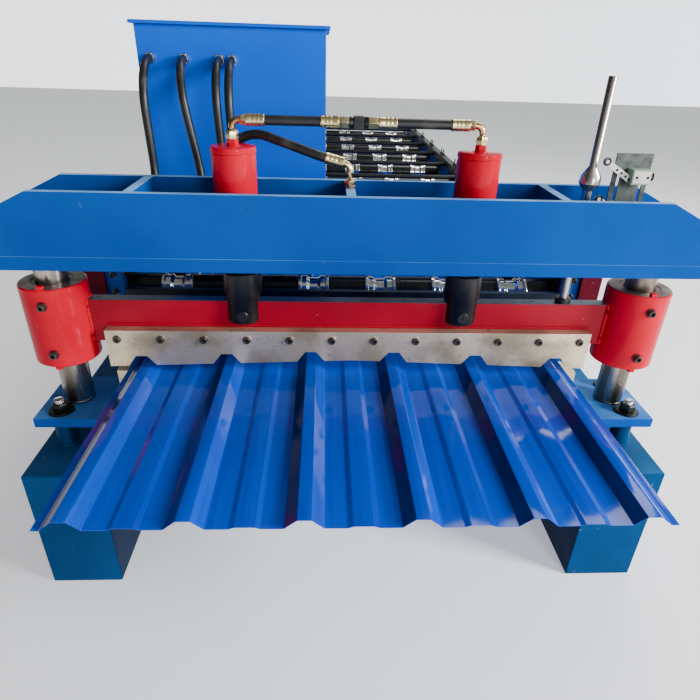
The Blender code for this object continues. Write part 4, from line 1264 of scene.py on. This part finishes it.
@dataclass
class Clevises:
    """The blackened forks at the rods' ends, with their pins and the chromed rods."""

    x: float = 0.257
    radius: float = 0.039
    top_radius: float = 0.042
    low: float = 0.664
    neck_z: float = 0.726
    top: float = 0.7893
    corner: float = 0.006
    chamfer: float = 0.004
    rod: float = 0.022
    rod_top: float = 0.963
    gap: float = 0.0158
    gap_top: float = 0.7165
    pin: float = 0.0135
    pin_z: float = 0.687
    pin_reach: float = 0.042
    # The corners of the pin's end: their radius, and how far they lie inside its reach.
    pin_end: tuple[Pair, ...] = (
        (0.0135, 0.0020), (0.0123, 0.0008), (0.0022, 0.0008), (0.0008, 0.0026), (0.0, 0.0026)
    )

    def fork(self, x: float, name: str) -> None:
        """One fork with its rod."""
        stock = Stock(f"black_fork_{name}", BLACKENED, CHROME)
        r, low, top, edge = self.radius, self.low, self.top, self.corner * 0.3
        profile: Profile = [(0.0, low), (r - self.corner, low), (r - edge, low + edge)]
        profile += [(r, low + self.corner), (r, self.neck_z), (self.top_radius, self.neck_z + self.corner)]
        profile += [(self.top_radius, top - self.chamfer), (self.top_radius - self.chamfer, top)]
        profile += [(self.rod + self.chamfer, top), (self.rod, top, 1)]
        profile += [(self.rod, self.rod_top, 1), (0.0, self.rod_top, 1)]
        stock.turned(profile, (x, 0.0, 0.0), sides=48)
        made = stock.deliver(Body.CARRIAGE, f"rod_clevis_{name}", bevel=0.0008)
        cutter = Stock(f"fork_gap_{name}", BLACKENED)
        past = 0.02
        reach = self.top_radius + past
        cutter.box((x - reach, -self.gap, low - past), (x + reach, self.gap, self.gap_top))
        carve(made, [cutter.cast()])

    def build(self) -> None:
        """Builds both forks and their pins."""
        profile = [(0.0, 0.0), (self.pin, 0.0)]
        profile += [(radius, self.pin_reach - inside) for radius, inside in self.pin_end]
        for side, name in SIDES:
            self.fork(side * self.x, name)
            pin = Stock(f"fork_pin_{name}", BLACKENED)
            for ahead in (FRONT, REAR):
                pin.turned(profile, (side * self.x, 0.0, self.pin_z), ahead)
            pin.deliver(Body.CARRIAGE, slot=Slot.BLACK)


@dataclass
class Cylinders:
    """The red hydraulic cylinders."""

    x: float = 0.257
    radius: float = 0.047
    low: float = 0.8413
    top: float = 1.052
    bore: float = 0.0228
    bore_end: float = 0.02
    edge: float = 0.0035
    foot: tuple[Pair, ...] = ((0.002, 0.0), (0.001, 0.003))
    # The groove under the cap: how far inside the cap's radius, and how far under the top.
    groove: tuple[Pair, ...] = ((0.001, 0.0140), (0.0020, 0.0132), (0.0020, 0.0122), (0.0, 0.0112))
    boss: Triple = (0.016, 0.0155, 0.0015)
    # The height of the nuts' feet above the top, then their width and height.
    nuts: tuple[Triple, Triple] = ((0.001, 0.0215, 0.0115), (0.0122, 0.0225, 0.0178))

    def profile(self) -> Profile:
        """The barrel under its cap, which stands out a little and has a groove under it."""
        r, e, top = self.radius, self.edge, self.top
        points = [(0.0, top - self.bore_end), (self.bore, top - self.bore_end), (self.bore, self.low)]
        points += [(r - inside, self.low + up) for inside, up in self.foot]
        points += [(r - inside, top - under) for inside, under in self.groove]
        points.append((r, top - e))
        points += [(r - e + e * math.cos(a), top - e + e * math.sin(a)) for a in (0.5, 1.05, 1.55)]
        wide, narrow, height = self.boss
        return [*points, (wide, top), (narrow, top + height), (0.0, top + height)]

    def build(self) -> None:
        """Builds both cylinders."""
        for side, name in SIDES:
            stock = Stock(f"red_cylinder_{name}", RED, BRASS)
            x = side * self.x
            stock.turned(self.profile(), (x, 0.0, 0.0), sides=64)
            for finish, (up, across, height) in enumerate(self.nuts):
                stock.nut((x, 0.0, self.top + up), across, height, finish=finish, start=0.3 * finish)
            stock.deliver(Body.FRAME, f"hydraulic_cylinder_{name}", bevel=0.0006)


@dataclass
class CapHoseLine:
    """The short hoses and fittings between the cylinders' caps, with the tee in the middle."""

    x: float = 0.257
    foot: float = 1.0823
    line_z: float = 1.102
    bend: float = 0.016
    tube: float = 0.0068
    tube_end: float = 0.226
    ferrule: float = 0.0118
    ferrule_length: float = 0.038
    ferrule_xs: Pair = (0.190, 0.078)
    crimp: float = 0.0003
    hose: float = 0.0098
    hose_length: float = 0.112
    # Where each nut starts along X, then its width and height.
    nut: Triple = (0.2395, 0.0190, 0.012)
    tee_nut: Triple = (0.0195, 0.0215, 0.020)
    tee: tuple[Pair, ...] = (
        (0.0, -0.020), (0.0112, -0.020), (0.0112, -0.014), (0.0102, -0.012),
        (0.0102, 0.012), (0.0112, 0.014), (0.0112, 0.020), (0.0, 0.020),
    )
    tee_block: Pair = (0.0100, 0.0122)

    def ferrule_profile(self, length: float) -> Profile:
        """A crimped ferrule."""
        r, waist = self.ferrule, self.ferrule - self.crimp
        points = [(self.hose, 0.0), (r - 0.001, 0.0), (r, 0.001)]
        for ring in range(3):
            start = 0.006 + ring * (length - 0.014) / 3
            points += [(r, start), (waist, start + 0.001), (waist, start + 0.004), (r, start + 0.005)]
        return [*points, (r, length - 0.001), (r - 0.001, length), (0.0, length)]

    def half(self, stock: Stock, side: int) -> None:
        """One half of the line, from a cylinder's elbow to the tee."""
        z = self.line_z
        outward, inward = (float(side), 0.0, 0.0), (-float(side), 0.0, 0.0)
        route = [((side * self.x, 0.0, self.foot), self.tube + 0.001)]
        for step in range(9):
            a = math.pi / 2 * step / 8
            x, up = self.x - self.bend * (1 - math.cos(a)), self.bend * (math.sin(a) - 1)
            route.append(((side * x, 0.0, z + up), self.tube))
        route.append(((side * self.tube_end, 0.0, z), self.tube))
        stock.tube(route, 2, 20)
        x, across, height = self.nut
        stock.nut((side * x, 0.0, z), across, height, inward, 1)
        ferrule = self.ferrule_profile(self.ferrule_length)
        for x, ahead in zip(self.ferrule_xs, (outward, inward)):
            stock.turned(ferrule, (side * x, 0.0, z), ahead, finish=1)
        stock.disc((side * self.ferrule_xs[1], 0.0, z), self.hose, self.hose_length, outward, 28)
        x, across, height = self.tee_nut
        stock.nut((side * x, 0.0, z), across, height, outward, 1)

    def build(self) -> None:
        """Builds the line."""
        stock = Stock("cap_hoses_and_tee", RUBBER, BRASS, COPPER, BLACKENED)
        for side, _ in SIDES:
            self.half(stock, side)
        stock.turned(list(self.tee), (0.0, 0.0, self.line_z), ASIDE, 28, finish=3)
        x, half = self.tee_block
        stock.box((-x, -half, self.line_z - half), (x, half, self.line_z + half), 3)
        stock.deliver(Body.FRAME, "cap_hose_line", slot=Slot.BRASS, bevel=0.0005)


@dataclass
class LowerPort:
    """The fitting on the crown's middle rib."""

    foot_x: float = -0.014
    foot_z: float = 0.9733
    socket: float = 0.0080
    tube: float = 0.0068
    # How far below the ferrule's end the bend has its corner and ends.
    drop: Pair = (0.004, 0.018)
    nut: Pair = (0.0205, 0.011)
    flange: tuple[Pair, ...] = ((0.0, 0.0), (0.0112, 0.0), (0.0112, 0.004), (0.0104, 0.005), (0.0, 0.005))

    def build(self) -> None:
        """Builds the fitting."""
        stock = Stock("lower_port_elbow", BRASS, COPPER)
        start, end = (Vector(point) for point in LOWER_FERRULE)
        ahead = (end - start).normalized()
        stock.turned(CapHoseLine().ferrule_profile((end - start).length), tuple(start), tuple(ahead))
        route = [(tuple(end - ahead * 0.003), self.socket), (tuple(end), self.socket)]
        corner, low = (Vector((self.foot_x, 0.0, end.z - drop)) for drop in self.drop)
        for step in range(9):
            t = step / 8
            point = end * (1 - t) ** 2 + corner * (2 * t * (1 - t)) + low * t**2
            route.append((tuple(point), self.tube))
        route.append(((self.foot_x, 0.0, self.foot_z + 0.012), self.tube))
        stock.tube(route, 0, 20)
        stock.nut((self.foot_x, 0.0, self.foot_z + 0.005), *self.nut, start=0.2)
        stock.turned(list(self.flange), (self.foot_x, 0.0, self.foot_z), finish=1)
        stock.deliver(Body.FRAME, "lower_port_fitting", bevel=0.0004)


@dataclass
class TripRod:
    """The chromed rod on the carriage with the double cone that works the switches."""

    x: float = 0.506
    y: float = 0.004
    foot: float = 0.7163
    radius: float = 0.010
    collar: Pair = (0.018, 0.010)
    cam: float = 0.0228
    cam_z: float = 0.977
    cam_ups: Triple = (0.015, 0.032, 0.052)
    top: float = 1.200

    def build(self) -> None:
        """Builds the rod."""
        stock = Stock("switch_trip_rod", CHROME, BLACKENED)
        r, thin = self.radius, self.radius - 0.001
        wide, height = self.collar
        profile: Profile = [(0.0, self.foot, 1), (wide, self.foot, 1), (wide, self.foot + height, 1)]
        profile += [(r, self.foot + height + 0.001), (r, self.cam_z)]
        radii = (self.cam, self.cam, thin)
        profile += [(radius, self.cam_z + up) for radius, up in zip(radii, self.cam_ups)]
        profile += [(thin, self.top - 0.0015), (thin - 0.001, self.top), (0.0, self.top)]
        stock.turned(profile, (self.x, self.y, 0.0), sides=36)
        stock.deliver(Body.CARRIAGE, "trip_rod", bevel=0.0006)


@dataclass
class LimitSwitches:
    """The slotted plate on the crown's floor with its two roller switches."""

    left: float = 0.552
    width: float = 0.080
    foot: float = 0.8413
    top: float = 1.056
    plate: float = 0.004
    slot_xs: Pair = (0.014, 0.066)
    slot_half: float = 0.0035
    slot_zs: tuple[Pair, Pair] = ((0.03, 0.085), (0.115, 0.185))
    length: float = 0.050
    depth: float = 0.028
    height: float = 0.030
    heights: Pair = (0.935, 1.012)
    end_gap: float = 0.009
    cover: float = 0.0015
    cover_half: float = 0.012
    cover_screws: Pair = (0.009, 0.033)
    gland: Pair = (0.009, 0.010)
    lever_reach: Point = (-0.059, 0.0, 0.036)
    lever_half: float = 0.0055
    lever_front: float = 0.016
    lever: float = 0.004
    lever_holes: Triple = (0.18, 0.36, 0.54)
    # The roller's radius, how far it stands out, and its finish: 2 for its hub and 3 for its tyre.
    wheel: tuple[Triple, ...] = (
        (0.0, 0.0, 2), (0.0036, 0.0, 2), (0.0038, 0.0006, 3), (0.0085, 0.0008, 3),
        (0.0085, 0.0052, 3), (0.0040, 0.0056, 3), (0.0038, 0.0062, 2), (0.0, 0.0062, 2),
    )

    def case(self, stock: Stock, left: float, z: float) -> None:
        """One switch's case with its cover and cable gland."""
        right = left + self.length - self.end_gap
        front, half = -self.depth, self.height / 2
        stock.box((left, front, z - half), (right, 0.0, z + half), 1)
        low = (left + 0.002, front - self.cover, z - self.cover_half)
        stock.box(low, (right - 0.003, front, z + self.cover_half), 2)
        stock.disc((right - 0.001, front / 2, z), *self.gland, ASIDE, 20, 3)
        for dx in self.cover_screws:
            stock.screw((left + dx, front - 0.0012, z), 0.003, 0.0015, FRONT, 3, sides=16)

    def arm(self, stock: Stock, left: float, z: float) -> None:
        """One switch's lever with its roller."""
        pivot = Vector((left + 0.001, 0.0, z - 0.007))
        tip = pivot + Vector(self.lever_reach)
        way = (tip - pivot).normalized()
        across = way.cross(Vector(REAR)) * self.lever_half
        wide = across * 1.2
        ends = [pivot + wide, pivot - way * 0.006, pivot - wide]
        ends += [tip - across, tip + way * 0.004, tip + across]
        front = -self.lever_front
        stock.prism([(p.x, p.z) for p in ends], front, front + self.lever, 2)
        for share in self.lever_holes:
            hole = pivot.lerp(tip, share)
            stock.screw((hole.x, front, hole.z), 0.0028, 0.0008, FRONT, 3, sides=14)
        stock.screw((pivot.x, front, pivot.z), 0.0045, 0.003, FRONT, 3, sides=18)
        stock.turned(list(self.wheel), (tip.x, front, tip.z), FRONT, 24)

    def slotted_plate(self) -> None:
        """The plate with its four slots."""
        base = Stock("slotted_switch_plate", SWITCH_PLATE)
        base.box((self.left, 0.0, self.foot), (self.left + self.width, self.plate, self.top))
        made = base.deliver(Body.FRAME, "limit_switches", bevel=0.0005)
        cutters = []
        for x in (self.left + inside for inside in self.slot_xs):
            for low, high in self.slot_zs:
                cutter = Stock(f"plate_slot_{len(cutters)}", SWITCH_PLATE)
                corner = (x + self.slot_half, 0.015, self.foot + high)
                cutter.box((x - self.slot_half, -0.01, self.foot + low), corner)
                cutters.append(cutter.cast())
        carve(made, cutters)

    def build(self) -> None:
        """Builds the plate and the switches."""
        self.slotted_plate()
        stock = Stock("roller_switches", BLACKENED, SWITCH_CASE, SWITCH_WHITE, SPACER)
        left = self.left + self.width - self.length
        for z in self.heights:
            self.case(stock, left, z)
            self.arm(stock, left, z)
        stock.deliver(Body.FRAME, slot=Slot.BLACK, bevel=0.0006)


@dataclass
class MountStuds:
    """The stub pipes under the base plate, with their washers, nuts and bolts."""

    x: float = 0.706
    y: float = 0.064
    low: float = 0.3503
    plate_low: float = 0.420
    plate_top: float = 0.444
    stub: float = 0.024
    seam: float = 0.0245
    seam_z: float = 0.0025
    # The two washers' radius and height, one on the other.
    washers: tuple[Pair, ...] = (
        (0.0125, 0.0), (0.030, 0.0), (0.030, 0.0022), (0.0275, 0.0024), (0.0275, 0.0047), (0.0125, 0.0047),
        (0.0125, 0.0),
    )
    washer_top: float = 0.0047
    shank: Pair = (0.0105, 0.03)
    nut: Pair = (0.0325, 0.019)
    thread: Pair = (0.011, 0.0105)

    def foot_seam(self, stock: Stock, x: float, y: float) -> None:
        """The lumpy weld seam round a stub pipe's foot."""
        ring = []
        for step in range(33):
            a = 2 * math.pi * step / 32
            point = (x + self.seam * math.cos(a), y + self.seam * math.sin(a), self.low + self.seam_z)
            ring.append((point, 0.0032 + 0.0007 * math.sin(step * 2.3)))
        stock.tube(ring, 1, 8)

    def build(self) -> None:
        """Builds all four."""
        top = self.plate_top + TOUCH
        nut_z = top + self.washer_top
        for side, name in SIDES:
            for end, place in ((-1, "front"), (1, "rear")):
                x, y = side * self.x, end * self.y
                stock = Stock(f"plate_bolt_{name}_{place}", BLACKENED, SHADED_LEG_BLUE, ROLLED)
                stock.disc((x, y, self.low), self.stub, self.plate_low - TOUCH - self.low, sides=36, finish=1)
                self.foot_seam(stock, x, y)
                stock.turned(list(self.washers), (x, y, top), sides=36)
                stock.disc((x, y, self.plate_low), *self.shank, sides=20)
                stock.nut((x, y, nut_z), *self.nut, start=0.25 * side)
                stock.thread((x, y, nut_z + self.nut[1]), *self.thread, finish=2, pitch=0.0015)
                stock.deliver(Body.FRAME, f"mount_stud_{name}_{place}", bevel=0.0006)


@dataclass
class WallScrews:
    """The adjusting screws on the side walls, and the bolts and red plates at their front flanges."""

    x: float = 0.652
    top: float = 0.6946
    nut: Pair = (0.019, 0.008)
    thread: Pair = (0.006, 0.026)
    offset: float = 0.03
    flange_x: float = 0.662
    flange_y: float = 0.2997
    washer: Pair = (0.0105, 0.0018)
    bolt: Pair = (0.0075, 0.007)
    bolt_zs: Pair = (0.609, 0.660)
    plate: tuple[Point, Point] = ((0.6820, 0.2880, 0.470), (0.7420, 0.2995, 0.690))
    # The thin black plates on the walls' inner faces: bearing plates, which also paint the shade inside the
    # walls.
    dark_plate_xs: Pair = (0.6355, 0.6368)
    dark_plate_half: float = 0.055
    dark_plate_zs: Pair = (0.545, 0.660)

    def flange(self, side: int, name: str) -> None:
        """What is bolted to one wall's front flange."""
        stock = Stock(f"flange_bolts_{name}", BLACKENED, EDGE_STEEL)
        x = side * self.flange_x
        for z in self.bolt_zs:
            stock.disc((x, self.flange_y, z), *self.washer, FRONT, finish=1)
            stock.screw((x, self.flange_y - self.washer[1], z), *self.bolt, FRONT)
        stock.deliver(Body.FRAME, slot=Slot.BLACK, bevel=0.0004)
        plate = Stock(f"red_side_plate_{name}", SHADED_PLATE_RED)
        plate.box(*mirrored(side, *self.plate))
        plate.deliver(Body.FRAME, bevel=0.0012)

    def shade_and_bearing_plates(self, side: int, name: str) -> None:
        """The thin black plates on one wall's inner face, one at each station: bearing plates, which also paint
        the shade inside the walls.
        """
        stock = Stock(f"bearing_plates_and_painted_shade_{name}", BLACKENED)
        (inner, outer), (low, high) = self.dark_plate_xs, self.dark_plate_zs
        for y in STATIONS:
            near, far = (inner, y - self.dark_plate_half, low), (outer, y + self.dark_plate_half, high)
            stock.box(*mirrored(side, near, far))
        stock.deliver(Body.FRAME, slot=Slot.BLACK)

    def build(self) -> None:
        """Builds the screws, bolts and plates."""
        for side, name in SIDES:
            self.flange(side, name)
            self.shade_and_bearing_plates(side, name)
            stock = Stock(f"adjusting_screws_{name}", ROLLED, BLACKENED)
            for y in STATIONS:
                for dy in (-self.offset, self.offset):
                    x = side * self.x
                    stock.nut((x, y + dy, self.top), *self.nut, finish=1, start=dy * 20)
                    stock.thread((x, y + dy, self.top + self.nut[1]), *self.thread)
            stock.deliver(Body.FRAME, slot=Slot.CHROME)


@dataclass
class CadFinish:
    """Dresses the CAD nodes that stay."""

    nodes: dict[str, bpy.types.Object]
    seam: float = 0.0008
    seam_end: Point = (0.735, -0.0938, 0.8411)
    weld: float = 0.00005

    def dress(self, finish: Finish, *names: str, bevel: float = 0.0) -> None:
        """Gives nodes a finish and rounded edges.

        Args:
            finish: The finish.
            names: The nodes.
            bevel: The width of the rounded edges.
        """
        for name in names:
            node = self.nodes[name]
            for slot in node.material_slots:
                slot.link = "OBJECT"
                slot.material = material_of(finish)
            if bevel:
                weld = node.modifiers.new("weld", "WELD")
                weld.merge_threshold = self.weld
                round_edges(node, bevel)
            LOG.info("node %s: %s", name, finish.name)

    def front_seam(self) -> None:
        """The thin weld seam along the crown's front, between its floor and its plate, coloured pale blue as a
        painted highlight along that edge.
        """
        x, y, z = self.seam_end
        stock = Stock("crown_seams", SEAM_HIGHLIGHT_BLUE)
        stock.bead((-x, y, z), (x, y, z), self.seam)
        stock.deliver(Body.FRAME)

    def build(self) -> None:
        """Dresses all of them."""
        self.front_seam()
        self.dress(SHADED_LEG_BLUE, "base_beam_left", "base_beam_right", bevel=0.004)
        self.dress(BLUE, "cross_member_1", "cross_member_2", "cross_member_3", bevel=0.003)
        self.dress(BLUE, "base_plate", bevel=0.0015)
        self.dress(CROWN_BLUE, "crown_floor", "crown_front_plate", "crown_rear_plate", bevel=0.0015)
        self.dress(BLUE, "side_wall_left", "side_wall_right", bevel=0.001)
        self.dress(SHADED_BAR_BLUE, "exit_guide_bar", bevel=0.0015)
        self.dress(BLUE, "tank_bridge_front", "tank_bridge_rear", bevel=0.0015)
        self.dress(LIT_TANK_BLUE, "tank_body", "tank_lid", bevel=0.002)
        self.dress(BLACKENED, "tie_frame")
        self.dress(KNIFE, "lower_die", bevel=0.001)


PIECES = (
    FormedSheet, RollSet, GuidePosts, Sleeves, KnifeBeam, UpperKnife, Clevises, Cylinders, CapHoseLine,
    LowerPort, TripRod, LimitSwitches, MountStuds, WallScrews,
)


def main() -> None:
    """Builds the studio and every piece of the machine in order."""
    logging.basicConfig(level=logging.INFO, format="%(message)s")
    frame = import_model()
    low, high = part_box("base_plate")
    Stock.shift_y = (low[1] + high[1]) / 2
    studio = Studio()
    studio.camera()
    Hoses().build()
    studio.light()
    studio.floor()
    for piece in PIECES:
        piece().build()
    CadFinish(frame["nodes"]).build()
    bpy.context.view_layer.update()


if __name__ == "__main__":
    main()
